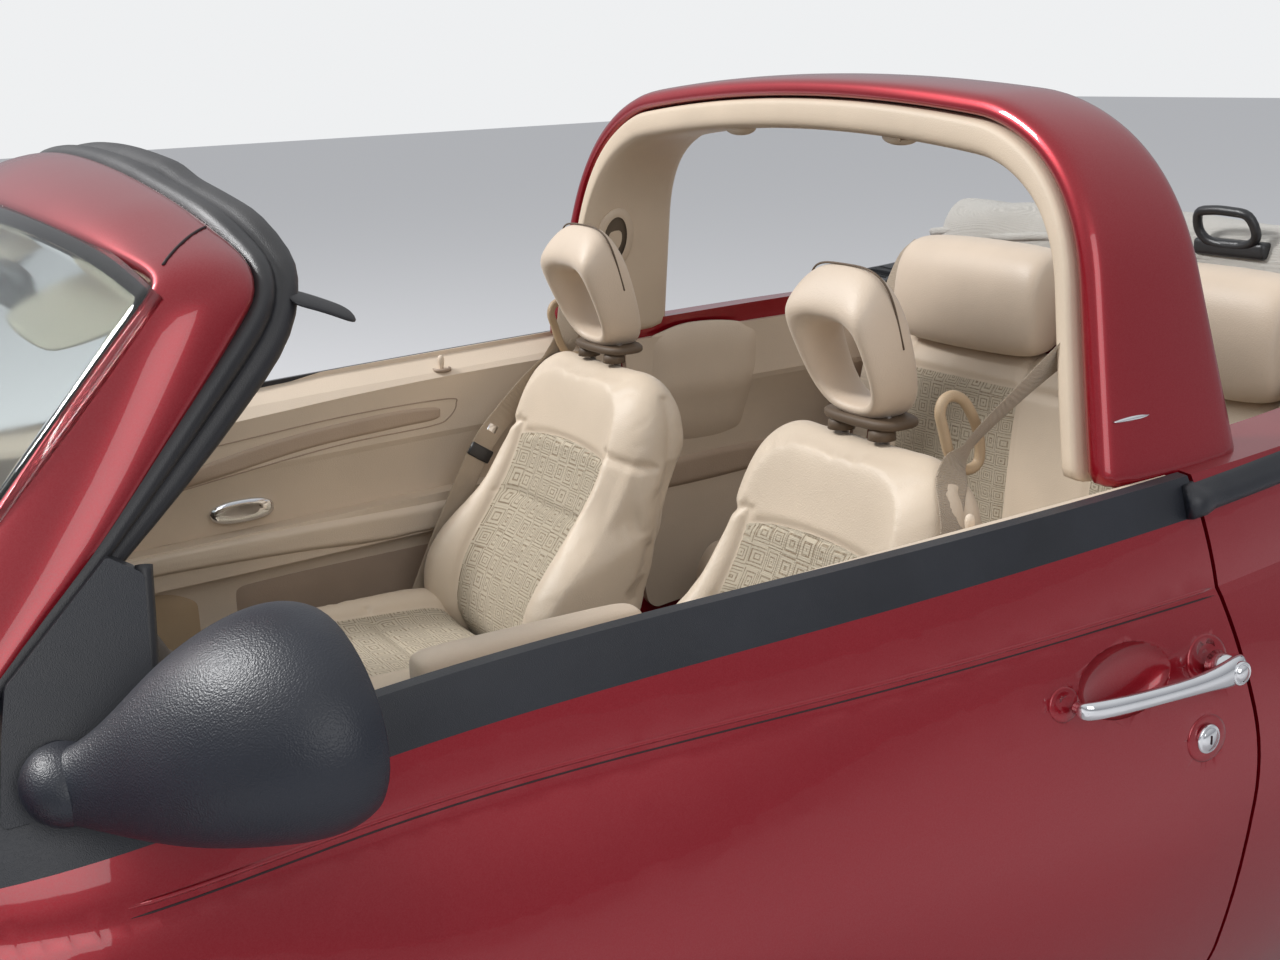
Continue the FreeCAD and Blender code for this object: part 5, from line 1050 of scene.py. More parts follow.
# Door trims
# Moulded beige panels with a soft upper roll, a darker inlaid pad, a long pull armrest and a map pocket below it.
# The lock pin stands in a round well in the top.
trim_plastic = finish("trim_plastic", paint_value(206, 189, 169), 0.55, tone=0.05, spread=5.0,
                      pebble=(560.0, 0.0003), dusty=0.04)
inlay_vinyl = finish("inlay_vinyl", paint_value(172, 152, 133), 0.6, tone=0.06, spread=8.0, pebble=(480.0, 0.0004))
pocket_vinyl = finish("pocket_vinyl", paint_value(158, 138, 120), 0.62, tone=0.08, spread=8.0,
                      pebble=(480.0, 0.0004))
dress(trim_plastic, "door_left_trim", "door_right_trim", "rear_side_trim")


def inlay(name, tree, side, stations, crown, material, body="chassis", columns=40):
    """Closed pad laid on a panel: stations give x and the pad's lower and upper edge, crown its height in the
    middle. It dips into the panel along its border."""
    form = bmesh.new()
    bmesh.ops.create_grid(form, x_segments=columns, y_segments=10, size=1.0)
    line = smooth_line(stations, steps=8)
    for vert in form.verts:
        u, v = (vert.co.x + 1) / 2, (vert.co.y + 1) / 2
        low = min(int(u * (len(line) - 1)), len(line) - 2)
        x, bottom, top = line[low].lerp(line[low + 1], u * (len(line) - 1) - low)
        z = bottom + (top - bottom) * v
        rise = min(1.0, 5.5 * min(u, 1 - u) * (stations[0][0] - stations[-1][0]) / 0.3, 5.0 * min(v, 1 - v))
        lift = -0.004 + (crown + 0.004) * math.sin(max(0.0, rise) * math.pi / 2)
        vert.co = (x, side * (reach_of(tree, x, z, side, 0.3) - lift), z)
    bmesh.ops.recalc_face_normals(form, faces=form.faces)
    if sum(f.normal.y for f in form.faces) * side > 0:
        bmesh.ops.reverse_faces(form, faces=form.faces)
    bmesh.ops.solidify(form, geom=form.faces[:], thickness=0.003)
    keep(name, form, material, "interior", body, subdivide=1)


DOOR_PADS = (
    ("door_inlay", inlay_vinyl, 0.004, ((0.560, 0.800, 0.828), (0.333, 0.838, 0.880), (0.172, 0.862, 0.902),
                                        (0.000, 0.872, 0.912), (-0.080, 0.876, 0.908), (-0.104, 0.884, 0.900))),
    ("door_armrest_top", trim_plastic, 0.010, ((0.620, 0.668, 0.708), (0.456, 0.674, 0.722), (0.200, 0.668, 0.724),
                                               (-0.062, 0.650, 0.722), (-0.300, 0.668, 0.726),
                                               (-0.372, 0.680, 0.716))),
    ("door_pocket", pocket_vinyl, 0.006, ((0.330, 0.470, 0.620), (0.200, 0.440, 0.628), (0.000, 0.436, 0.632),
                                          (-0.250, 0.446, 0.634), (-0.380, 0.470, 0.620))),
    ("door_speaker", apron_plastic, 0.006, ((0.640, 0.500, 0.600), (0.560, 0.460, 0.635), (0.450, 0.460, 0.635),
                                            (0.380, 0.500, 0.600))))
DOOR_LINES = (
    ("door_line_upper", ((0.700, 0.772), (0.500, 0.812), (0.300, 0.842), (0.100, 0.862), (-0.080, 0.868),
                         (-0.120, 0.880), (-0.135, 0.905), (-0.110, 0.918), (0.100, 0.916), (0.350, 0.900))),
    ("door_line_lower", ((0.660, 0.560), (0.405, 0.540), (0.200, 0.448), (0.008, 0.430), (-0.300, 0.436))))
PULL_X, PULL_Z = 0.30, 0.765
for side_name, side, pin_x, pin_y in (("left", 1, -0.176, 0.700), ("right", -1, -0.112, -0.706)):
    body = "door_" + side_name
    trim_skin = skin_of("door_%s_trim" % side_name)
    for part, look_of, crown, stations in DOOR_PADS:
        inlay("%s_%s" % (part, side_name), trim_skin, side, stations, crown, look_of, body)
    for part, points in DOOR_LINES:
        line = [touch(trim_skin, (x, side * 0.3, z), (0, side, 0))
                for x, _, z in smooth_line([(x, 0, z) for x, z in points], steps=8)]
        piped("%s_%s" % (part, side_name), line, 0.0014, 6, pocket_vinyl, "interior", body)
    floor_z = rest_on(trim_skin, pin_x, pin_y).z
    for part, look_of, steps, profile in (
            ("lock_pin", trim_plastic, 16, ((0.0042, -0.008), (0.0042, 0.004), (0.0058, 0.010), (0.0064, 0.018),
                                            (0.0048, 0.024), (0.0015, 0.0262))),
            ("lock_well", pocket_vinyl, 24, ((0.019, -0.004), (0.018, 0.0012), (0.0155, 0.0018), (0.013, -0.001),
                                             (0.006, -0.002)))):
        rings = [[(pin_x + a, pin_y + b, floor_z + up_by) for a, b in oval(steps, reach)]
                 for reach, up_by in profile]
        lofted("%s_%s" % (part, side_name), rings, look_of, "interior", body)
    pull_y = reach_of(trim_skin, PULL_X, PULL_Z, side, 0.3)
    rings = [[(PULL_X + a, side * (pull_y + out), PULL_Z + b)
              for a, b in oval(28, 0.060 * share, 0.022 * share, 0.8, 0.8)]
             for share, out in ((1.0, 0.002), (1.0, -0.008), (0.85, -0.011), (0.5, -0.011))]
    lofted("door_latch_plate_" + side_name, rings, chrome, "chrome", body)

# Rear seat
# A foam bench and back in the same vinyl with cloth middles, and two rolled head pads on top of the back, each on
# two short posts.
REAR_BACK = [(-1.140, .425), (-1.020, .430), (-.998, .560), (-1.005, .720), (-1.030, .880), (-1.048, .955),
             (-1.075, .985), (-1.120, .985), (-1.140, .940), (-1.145, .700)]
REAR_CUSHION = [(-1.030, .360), (-.560, .360), (-.552, .480), (-.580, .560), (-.640, .592), (-.800, .590),
                (-.940, .560), (-1.020, .540)]


def bench_seam(across_by, cross, facing):
    """Distance from the nearest seam of a bench: two lengthwise on each side, and one across it."""
    return min(abs(abs(across_by[0]) - across_by[1]), abs(abs(across_by[0]) - 0.105), abs(cross)) \
        if facing >= 0.1 else AWAY


def bench_panel(across_by, cross, facing):
    """How far inside the cloth panels of a bench."""
    return min(across_by[1] - abs(across_by[0]), abs(across_by[0]) - 0.105, cross) if facing > 0.1 else -AWAY


for part, profile, half, cover, node, measured in (
        ("rear_back", REAR_BACK, 0.552, back_cover, "rear_seat_back",
         lambda place, normal: ((place.y, 0.435), 0.905 - place.z, normal.x)),
        ("rear_cushion", REAR_CUSHION, 0.590, cushion_cover, "rear_seat_cushion",
         lambda place, normal: ((place.y, 0.455), -0.640 - place.x, normal.z))):
    upholstered(part, pad(profile, profile, half, 0.05), 0.0085, 0.010,
                lambda place, normal: bench_seam(*measured(place, normal)),
                lambda place, normal: bench_panel(*measured(place, normal)), cover, node, width=0.009)

ROLL_ENDS = ((0.062, 0.50), (0.066, 0.78), (0.080, 0.93), (0.110, 1.0), (0.20, 1.03), (0.28, 1.04), (0.36, 1.03),
             (0.425, 1.0), (0.452, 0.93), (0.464, 0.78), (0.468, 0.50))
for side_name, side in SIDES:
    rings = [[(-1.078 + a - 0.016 * lean, side * y, 1.066 + b) for (a, b), (_, lean) in zip(
        oval(20, 0.064 * share, 0.104 * share, 0.75, 0.72), oval(20, 1.0))] for y, share in ROLL_ENDS]
    lofted("rear_head_roll_" + side_name, rings, vinyl, "seat_cover", subdivide=2, fill=0.95)
    for y in (0.20, 0.34):
        line = [Vector((-1.085, side * y, z)) for z in (0.965, 1.005)]
        piped("rear_head_post_%s_%d" % (side_name, round(y * 100)), line, 0.006, 12, post_steel, "chrome")
    line = smooth_line([on_side(p, side) for p in (
        (-1.150, 0.520, 1.145), (-1.098, 0.515, 1.110), (-1.040, 0.508, 1.010), (-0.990, 0.500, 0.880),
        (-0.965, 0.500, 0.740), (-0.945, 0.500, 0.630), (-0.930, 0.498, 0.600))], steps=5)
    band("rear_belt_" + side_name, line, [(0, 1, 0)] * 3)

# Folded top
# The woven soft top lies in its well behind the rear seat, packed in soft folds over its black frame rails. A black
# handle on its front bow pulls it closed.
canvas = finish("top_canvas", paint_value(206, 202, 194), 0.8, tone=0.07, spread=6.0, dusty=0.08, sheen_weight=0.3)
woven(canvas, 210.0)
STACK = [(-1.200, .955), (-1.193, 1.060), (-1.188, 1.140), (-1.196, 1.200), (-1.224, 1.232), (-1.262, 1.240),
         (-1.300, 1.224), (-1.330, 1.204), (-1.372, 1.212), (-1.420, 1.204), (-1.462, 1.176), (-1.500, 1.160),
         (-1.545, 1.156), (-1.584, 1.130), (-1.594, 1.090), (-1.586, 1.066), (-1.556, 1.062), (-1.552, .955)]
STACK_HALF, STACK_TOP = 0.566, 1.246
rings = []
for share in (-1 + n / 20 for n in range(41)):
    y = STACK_HALF * share
    pull_in = rounding((abs(share) - 0.90) / 0.10) * 0.45 + 0.02
    ring = []
    for x, z in STACK:
        sway = noise.noise(Vector((x * 9, y * 3.2, z * 9))) * 0.014
        fold = 0.007 * math.sin(y * 21 + x * 60) - 0.016 * share * share if z > 1.1 else 0.0
        inward = (Vector((-1.39, 1.08)) - Vector((x, z))) * pull_in
        high = z + (sway if z > 1.0 else 0.0) + fold + inward.y
        ring.append((x + sway * 0.6 + inward.x, y, min(high, STACK_TOP)))
    rings.append(ring)
lofted("folded_canvas", rings, canvas, "top_fabric", subdivide=2, instead_of=("folded_top",), fill=0.6)
for number, (x, z, reach) in enumerate(((-1.204, 1.170, 0.55), (-1.330, 1.192, 0.53), (-1.498, 1.150, 0.51))):
    line = [Vector((x + 0.004 * math.sin(y * 17), y,
                    z - 0.016 * (y / STACK_HALF) ** 2 + 0.004 * math.sin(y * 23 + number)))
            for y in (reach * (-1 + n / 20) for n in range(41))]
    piped("canvas_hem_%d" % (number + 1), line, 0.0085, 10, canvas, "top_fabric")

line = smooth_line([(-1.205, y, z) for y, z in (
    (0.170, 1.215), (0.176, 1.245), (0.205, 1.252), (0.245, 1.252), (0.280, 1.246), (0.290, 1.215), (0.272, 1.196),
    (0.230, 1.190), (0.188, 1.196))], steps=4, closed=True)
for place in line:
    place.x = -1.196 + (place.z - 1.19) * 0.35
piped("top_latch_handle", line, 0.0085, 12, tongue_black, "black_trim", closed=True)
keep("top_latch_base", bar_of((0.030, 0.150, 0.030), (-1.203, 0.230, 1.186), 0.008), tongue_black, "black_trim")

# Side walls beside the rear seat
# One moulding each side, with a soft swelling over the wheel arch and a long rest below it.
wall_skin = skin_of("rear_side_trim")
for side_name, side in SIDES:
    for part, look_of, crown, stations in (
            ("side_swell_front", trim_plastic, 0.012, ((-0.560, 0.760, 0.990), (-0.640, 0.740, 1.010),
                                                       (-0.740, 0.735, 1.006), (-0.820, 0.750, 0.985))),
            ("side_rest", inlay_vinyl, 0.008, ((-0.555, 0.640, 0.700), (-0.700, 0.640, 0.715),
                                               (-0.900, 0.650, 0.715), (-0.960, 0.660, 0.700)))):
        inlay("%s_%s" % (part, side_name), wall_skin, side, stations, crown, look_of, columns=20)

# Wheels and tyres
# Cast five-spoke wheels in silver lacquer, each with a plain domed cap, five chromed nuts and a steel brake disc
# behind it. The tyres are black rubber with a moulded block tread and fine ribs round the sidewall.
WHEEL_Y, AXLE_Z, TYRE_RADIUS = 0.740, 0.316, 0.316


def turned(form, profile, middle, steps, axis=1, side=1):
    """Turn a closed profile of (reach, radius) pairs round a line along the car, axis 0, or across it, axis 1."""
    verts = []
    for out, radius in profile:
        place = Vector(middle) + Vector((0, 0, radius))
        place[axis] += side * out
        verts.append(form.verts.new(place))
    edges = [form.edges.new(pair) for pair in zip(verts, verts[1:] + verts[:1])]
    line = [0.0, 0.0, 0.0]
    line[axis] = 1.0
    bmesh.ops.spin(form, geom=verts + edges, cent=middle, axis=line, dvec=(0, 0, 0), angle=math.tau, steps=steps,
                   use_merge=True)
    welded(form)


tread, given, result = effect("tread", "Height", Vector=None)
xyz = lay(tread, "SeparateXYZ", {0: given["Vector"]}).outputs
flat = lay(tread, "CombineXYZ", {"X": xyz["X"], "Z": xyz["Z"]})
radius_of = lay(tread, "VectorMath", {0: flat}, operation="LENGTH").outputs["Value"]
out_of = reckon(tread, "ABSOLUTE", xyz["Y"])
groove = lay(tread, "MapRange", {0: reckon(tread, "PINGPONG", out_of, 0.0195), 1: 0.0150, 2: 0.0170})
slant = reckon(tread, "MULTIPLY_ADD", reckon(tread, "ARCTAN2", xyz["Z"], xyz["X"]), TYRE_RADIUS, out_of)
block = lay(tread, "MapRange", {0: reckon(tread, "PINGPONG", slant, 0.0138), 1: 0.0118, 2: 0.0130})
crown = lay(tread, "MapRange", {0: radius_of, 1: 0.303, 2: 0.308})
cut_in = reckon(tread, "MULTIPLY", reckon(tread, "MAXIMUM", groove, block), crown)
rib_zone = lay(tread, "MapRange", {0: radius_of, 1: 0.268, 2: 0.262})
rib = reckon(tread, "MULTIPLY", reckon(tread, "PINGPONG", radius_of, 0.0022), rib_zone)
raised = reckon(tread, "MULTIPLY_ADD", rib, 60.0, 1.0)
tread.links.new(reckon(tread, "SUBTRACT", raised, cut_in).outputs[0], result)

silver = finish("silver_lacquer", (0.56, 0.57, 0.59, 1), 0.28, 0.85, tone=0.04, spread=9.0,
                pebble=(1400.0, 0.00004), dusty=0.05, coat_weight=0.6, coat_roughness=0.06)
disc_steel = finish("brake_disc_steel", (0.30, 0.29, 0.28, 1), 0.42, 1.0, tone=0.2, spread=40.0,
                    pebble=(500.0, 0.0001), dusty=0.1)
RIM_PROFILE = ((0.0925, 0.2115), (0.0835, 0.2115), (0.0800, 0.2030), (0.0400, 0.2005), (0.0200, 0.1780),
               (-0.0400, 0.1780), (-0.0800, 0.2030), (-0.0840, 0.2115), (-0.0925, 0.2115), (-0.0900, 0.1950),
               (-0.0450, 0.1712), (0.0300, 0.1712), (0.0500, 0.1905), (0.0885, 0.1960), (0.0925, 0.2040))
HUB_PROFILE = ((0.040, 0.0), (0.040, 0.064), (0.060, 0.068), (0.070, 0.064), (0.0735, 0.056), (0.0735, 0.036),
               (0.068, 0.034), (0.068, 0.0))
CAP_PROFILE = ((0.066, 0.0), (0.066, 0.0335), (0.0745, 0.0325), (0.0775, 0.028), (0.0795, 0.014), (0.0800, 0.0))
DISC_PROFILE = ((0.014, 0.070), (0.014, 0.138), (0.036, 0.138), (0.036, 0.082), (0.039, 0.078), (0.039, 0.0),
                (0.034, 0.0), (0.034, 0.070))
# Stations of a spoke: reach from the axle, half width, and how far out its face and back stand
SPOKE = ((0.046, 0.036, 0.0715, 0.046), (0.066, 0.0335, 0.0725, 0.044), (0.092, 0.0285, 0.0715, 0.042),
         (0.125, 0.0265, 0.0690, 0.041), (0.158, 0.0290, 0.0660, 0.040), (0.182, 0.0345, 0.0640, 0.044),
         (0.196, 0.0410, 0.0635, 0.050))
NUT_REACH = 0.0505
for end, axle_x in (("front", 1.299), ("rear", -1.317)):
    tyre_rubber = finish("tyre_rubber_" + end, (0.018, 0.018, 0.019, 1), 0.78, tone=0.25, spread=12.0, dusty=0.2)
    for side_name, side in SIDES:
        wheel = "%s_%s" % (end, side_name)
        body = "wheel_" + wheel
        dress(tyre_rubber, "tyre_" + wheel)
        middle = (axle_x, side * WHEEL_Y, AXLE_Z)
        alloy = bmesh.new()
        turned(alloy, RIM_PROFILE, middle, 64, side=side)
        turned(alloy, HUB_PROFILE, middle, 40, side=side)
        for angle in (math.tau * n / 5 for n in range(5)):
            out_to = Vector((math.sin(angle), 0, math.cos(angle)))
            sideways = Vector((math.cos(angle), 0, -math.sin(angle)))
            loft(alloy, [[Vector(middle) + out_to * reach + sideways * part * half + Vector((0, side * out, 0))
                          for part, out in ((-1.0, back), (-1.02, face - 0.012), (-0.84, face - 0.002),
                                            (-0.45, face), (-0.22, face - 0.0045), (0.22, face - 0.0045),
                                            (0.45, face), (0.84, face - 0.002), (1.02, face - 0.012), (1.0, back))]
                         for reach, half, face, back in SPOKE])
        keep("alloy_" + wheel, alloy, silver, "rim", body, sharp=38, instead_of=("rim_" + wheel,))
        cap = bmesh.new()
        turned(cap, CAP_PROFILE, middle, 40, side=side)
        keep("wheel_cap_" + wheel, cap, chrome, "chrome", body)
        nuts = bmesh.new()
        for angle in (math.tau * (n + 0.5) / 5 for n in range(5)):
            made = bmesh.ops.create_cone(nuts, cap_ends=True, segments=6, radius1=0.0105, radius2=0.0085,
                                         depth=0.020)["verts"]
            bmesh.ops.rotate(nuts, verts=made, matrix=Matrix.Rotation(math.radians(-90 * side), 3, "X"))
            bmesh.ops.translate(nuts, verts=made, vec=(
                axle_x + NUT_REACH * math.sin(angle), side * (WHEEL_Y + 0.080), AXLE_Z + NUT_REACH * math.cos(angle)))
        bmesh.ops.bevel(nuts, geom=nuts.edges[:], offset=0.0012, segments=2, profile=0.5, affect="EDGES", material=-1)
        keep("wheel_nuts_" + wheel, nuts, chrome, "chrome", body)
        disc = bmesh.new()
        turned(disc, DISC_PROFILE, middle, 56, side=side)
        keep("brake_disc_" + wheel, disc, disc_steel, "dark_steel", body, smooth=False)
        line = [Vector((axle_x + 0.103, side * (WHEEL_Y + 0.048), AXLE_Z + 0.142)),
                Vector((axle_x + 0.100, side * (WHEEL_Y + 0.076), AXLE_Z + 0.138))]
        piped("valve_" + wheel, line, 0.004, 10, rubber, "tyre", body)
    tree, _, place = insides(tyre_rubber)
    from_axle = lay(tree, "Mapping", {"Vector": place, "Location": (-axle_x, 0, -AXLE_Z)})
    signed = lay(tree, "SeparateXYZ", {0: from_axle}).outputs
    from_middle = reckon(tree, "SUBTRACT", reckon(tree, "ABSOLUTE", signed["Y"]), WHEEL_Y)
    round_axle = lay(tree, "CombineXYZ", {"X": signed["X"], "Y": from_middle, "Z": signed["Z"]})
    emboss(tyre_rubber, lay(tree, "Group", {"Vector": round_axle}, node_tree=tread), 0.006)

# Front lamps
# Round lamps: a clear domed lens and a chromed ring over a bright chromed bowl with a bulb in it.
lens_clear = finish("lens_clear", (0.95, 0.97, 0.98, 1), 0.04, tone=0.02, transmission_weight=1.0, ior=1.45)
bulb_white = finish("bulb_white", (0.85, 0.84, 0.80, 1), 0.25, tone=0.03, pebble=(900.0, 0.0001))
LAMP_Y, LAMP_Z = 0.560, 0.675


def faced(name, place, profile, steps, *look, **how):
    """A fitting turned round a line along the car; profile pairs are (reach forward of its place, radius)."""
    form = bmesh.new()
    turned(form, profile, place, steps, axis=0)
    return keep(name, form, *look, **how)


LAMP_PARTS = (
    ("lamp_lens", lens_clear, "lamp_glass", (
        (2.006, 0.0885), (2.022, 0.084), (2.036, 0.068), (2.044, 0.045), (2.048, 0.020), (2.049, 0.0), (2.046, 0.0),
        (2.041, 0.044), (2.033, 0.066), (2.019, 0.081), (2.003, 0.0850))),
    ("lamp_ring", chrome, "chrome", (
        (1.990, 0.0850), (1.990, 0.0955), (2.010, 0.0955), (2.016, 0.0925), (2.014, 0.0880), (2.004, 0.0860))),
    ("lamp_bowl", chrome, "lamp_glass", (
        (2.002, 0.0845), (1.985, 0.0800), (1.960, 0.0700), (1.938, 0.0540), (1.924, 0.0340), (1.918, 0.0150),
        (1.905, 0.0150), (1.905, 0.0), (1.897, 0.0), (1.897, 0.0600), (1.930, 0.0880), (2.002, 0.0900))),
    ("lamp_bulb", bulb_white, "lamp_glass", (
        (1.906, 0.0), (1.906, 0.0110), (1.930, 0.0120), (1.950, 0.0100), (1.958, 0.0))))
for side_name, side in SIDES:
    for part, look_of, slot, profile in LAMP_PARTS:
        faced("%s_%s" % (part, side_name), (0, side * LAMP_Y, LAMP_Z), profile, 48, look_of, slot, sharp=50,
              instead_of=("front_lamps",))

# Tail lamps
# Red moulded lenses that follow the tail's shape, fluted inside, with a clear round lens low in each for reversing.
red_lens = finish("red_lens", (0.42, 0.006, 0.008, 1), 0.08, tone=0.1, spread=30.0, dusty=0.04, coat_weight=1.0,
                  coat_roughness=0.02)
tree, _, place = insides(red_lens)
flutes = lay(tree, "TexWave", {"Vector": place, "Scale": 60.0, "Distortion": 0.0}, bands_direction="Z")
emboss(red_lens, flutes.outputs["Fac"], 0.0012)
dress(red_lens, "tail_lamps")
tail_skin = skin_of("tail_lamps")
for side_name, side in SIDES:
    rings = []
    for share, lift in ((1.0, -0.003), (1.0, 0.0015), (0.88, 0.0035), (0.4, 0.0060)):
        ring = [(side * (0.625 + a), 0.700 + b) for a, b in oval(28, 0.034 * share)]
        rings.append([(touch(tail_skin, (-2.4, y, z), (1, 0, 0)).x - lift, y, z) for y, z in ring])
    lofted("reversing_lens_" + side_name, rings, bulb_white, "lamp_glass", subdivide=1)

# Grille, plates and fog lamps
# Chromed bars before a black honeycomb screen. Each plate is a bare pressed sheet in a black holder, and two round
# fog lamps sit in the front bumper.
dress(chrome, "grille")
honeycomb = finish("honeycomb", (0.012, 0.012, 0.013, 1), 0.5, tone=0.2)
tree, _, place = insides(honeycomb)
cells = lay(tree, "TexVoronoi", {"Vector": place, "Scale": 90.0}, feature="DISTANCE_TO_EDGE")
emboss(honeycomb, cells.outputs["Distance"], -0.004)
keep("grille_screen", bar_of((0.004, 0.590, 0.170), (1.972, 0, 0.649), 0.001), honeycomb, "black_trim", smooth=False)
plate_white = finish("plate_sheet", (0.62, 0.63, 0.62, 1), 0.35, tone=0.03, spread=12.0, pebble=(700.0, 0.00005),
                     dusty=0.05)
front_skin, lid_skin = skin_of("front_bumper"), skin_of("trunk_lid")
front_x = touch(front_skin, (3.0, 0.0, 0.455), (-1, 0, 0)).x
lid_low, lid_high = (touch(lid_skin, (-3.0, 0.0, z), (1, 0, 0)) for z in (0.700, 0.860))
lid_lean = math.degrees(math.atan2(lid_high.x - lid_low.x, lid_high.z - lid_low.z))
lid_middle = (lid_low + lid_high) / 2
for end, x, z, way, out, lean, body in (
        ("front", front_x, 0.448, 1, (0.001, 0.0075), 0, "chassis"),
        ("rear", lid_middle.x, lid_middle.z, -1, (0.005, 0.0115), lid_lean, "trunk_lid")):
    keep("plate_holder_" + end, bar_of((0.010, 0.330, 0.172), (x + way * out[0], 0, z), 0.003, lean), black_plastic,
         "black_trim", body)
    keep("plate_" + end, bar_of((0.004, 0.306, 0.152), (x + way * out[1], 0, z), 0.0015, lean), plate_white, "chrome",
         body)
FOG_PARTS = (("fog_ring", black_plastic, "black_trim", ((-0.030, 0.048), (-0.030, 0.056), (0.004, 0.056),
                                                        (0.009, 0.052), (0.006, 0.046), (-0.008, 0.044))),
             ("fog_lens", bulb_white, "lamp_glass", ((-0.020, 0.0), (-0.020, 0.044), (-0.002, 0.044),
                                                     (0.004, 0.034), (0.007, 0.016), (0.008, 0.0))))
for side_name, side in SIDES:
    y, z = side * 0.60, 0.335
    fog_x = touch(front_skin, (3.0, y, z), (-1, 0, 0)).x
    for part, look_of, slot, profile in FOG_PARTS:
        faced("%s_%s" % (part, side_name), (fog_x, y, z), profile, 40, look_of, slot)

# Wipers
# Two black steel arms with rubber blades, parked along the foot of the glass.
for number, (pivot_y, tip_y) in enumerate(((0.46, -0.06), (-0.02, -0.52))):
    line = smooth_line([on_glass(pivot_y, 0.972, -0.012), on_glass(pivot_y - 0.06, 0.990, -0.016),
                        on_glass((pivot_y + tip_y) / 2, 1.012, -0.014)])
    piped("wiper_arm_%d" % (number + 1), line, 0.0055, 8, tongue_black, "black_trim", tips=0.8)
    line = [on_glass(pivot_y + 0.04 + (tip_y - pivot_y - 0.04) * n / 12, 0.998 + 0.014 * n / 12, -0.006)
            for n in range(13)]
    piped("wiper_blade_%d" % (number + 1), line, 0.0045, 8, rubber, "black_trim", tips=0.5)

# Engine and underside
# The cast engine with a ribbed plastic cover, a filler cap and an air pipe. Floor, axles and hinges are steel in
# black underbody paint and the exhaust is bare steel, all with road dust on them, and the wheel arches have
# plastic liners.
cast_metal = finish("cast_metal", (0.30, 0.30, 0.31, 1), 0.5, 0.8, tone=0.15, spread=20.0, pebble=(300.0, 0.0006),
                    dusty=0.3)
keep("engine_casting", bar_of((0.470, 0.680, 0.375), (1.459, 0, 0.418), 0.02), cast_metal, "engine_block",
     smooth=False, instead_of=("engine",))
for number in range(6):
    keep("engine_rib_%d" % (number + 1), bar_of((0.478, 0.016, 0.300), (1.459, -0.30 + 0.12 * number, 0.430), 0.005),
         cast_metal, "engine_block")
rings = [[(x, part * share, z) for part, z in (
    (-0.31, 0.606), (-0.325, 0.64), (-0.30, top - 0.008), (-0.15, top), (0.15, top), (0.30, top - 0.008),
    (0.325, 0.64), (0.31, 0.606))] for x, share, top in (
        (1.232, 0.90, 0.655), (1.242, 0.97, 0.700), (1.275, 1.0, 0.722), (1.46, 1.0, 0.728), (1.645, 1.0, 0.722),
        (1.678, 0.97, 0.700), (1.688, 0.90, 0.655))]
lofted("engine_cover", rings, black_plastic, "engine_block", subdivide=2)
for number in range(4):
    keep("cover_rib_%d" % (number + 1), bar_of((0.34, 0.014, 0.010), (1.46, -0.18 + 0.12 * number, 0.728), 0.004),
         black_plastic, "engine_block")
filler = bmesh.new()
bmesh.ops.create_cone(filler, cap_ends=True, segments=10, radius1=0.030, radius2=0.026, depth=0.020)
bmesh.ops.bevel(filler, geom=filler.edges[:], offset=0.003, segments=2, profile=0.5, affect="EDGES", material=-1)
bmesh.ops.translate(filler, vec=(1.36, 0.245, 0.732), verts=filler.verts)
keep("filler_cap", filler, tongue_black, "engine_block")
line = smooth_line([(1.30, -0.20, 0.690), (1.28, -0.30, 0.655), (1.32, -0.325, 0.560), (1.42, -0.325, 0.500)])
piped("air_pipe", line, 0.017, 14, rubber, "engine_block")
under_paint = finish("underbody_paint", (0.030, 0.030, 0.032, 1), 0.62, tone=0.3, spread=4.0, pebble=(240.0, 0.0005),
                     dusty=0.5)
dress(under_paint, "floor_pan", "front_subframe", "rear_axle", "knuckle_left", "knuckle_right", "door_hinges")
pipe_steel = finish("exhaust_steel", (0.26, 0.23, 0.20, 1), 0.5, 0.9, tone=0.3, spread=8.0, pebble=(260.0, 0.0004),
                    dusty=0.3)
dress(pipe_steel, "exhaust")
arch_plastic = finish("arch_plastic", (0.020, 0.020, 0.021, 1), 0.8, tone=0.3, spread=7.0, pebble=(180.0, 0.0008),
                      dusty=0.5)
dress(arch_plastic, "wheel_liners", "top_well")
faced("exhaust_tip", (0, -0.400, 0.1915), ((-2.132, 0.0235), (-2.134, 0.0265), (-2.130, 0.0285), (-2.040, 0.0285),
                                           (-2.036, 0.0262), (-2.100, 0.0240)), 40, chrome, "chrome")

# Dashboard
# A moulded vinyl dashboard with a satin silver panel. Three round gauges stand before the driver under a low hood,
# with round air vents, a radio and three heater knobs in the middle, and a glove box lid ahead of the passenger.
dash_vinyl = finish("dash_vinyl", paint_value(96, 84, 72), 0.6, tone=0.08, spread=6.0, pebble=(650.0, 0.0003),
                    dusty=0.08)
dress(dash_vinyl, "dashboard")
satin_silver = finish("satin_silver", (0.50, 0.50, 0.51, 1), 0.36, 0.7, tone=0.04, spread=14.0,
                      pebble=(1200.0, 0.00004))
dial_white = finish("dial_white", (0.72, 0.72, 0.69, 1), 0.5, tone=0.02, pebble=(900.0, 0.00003))
dial_black = finish("dial_black", (0.012, 0.012, 0.013, 1), 0.4, tone=0.1, pebble=(900.0, 0.00005))
needle_red = finish("needle_red", (0.65, 0.03, 0.01, 1), 0.4, tone=0.03, pebble=(900.0, 0.00005))
dash_skin = skin_of("dashboard")
DRIVER_Y, GAUGE_Z, PANEL_Z = 0.368, 0.866, 0.865


def dash_x(y, z):
    """How far back the dashboard's face reaches at a place."""
    return touch(dash_skin, (0.3, y, z), (1, 0, 0)).x


def set_in(name, y, z, profile, material, slot="interior", steps=40):
    """Round fitting in the dashboard's face: profile pairs are (reach out of the face, radius)."""
    faced(name, (dash_x(y, z), y, z), [(-out, radius) for out, radius in profile], steps, material, slot, sharp=45)


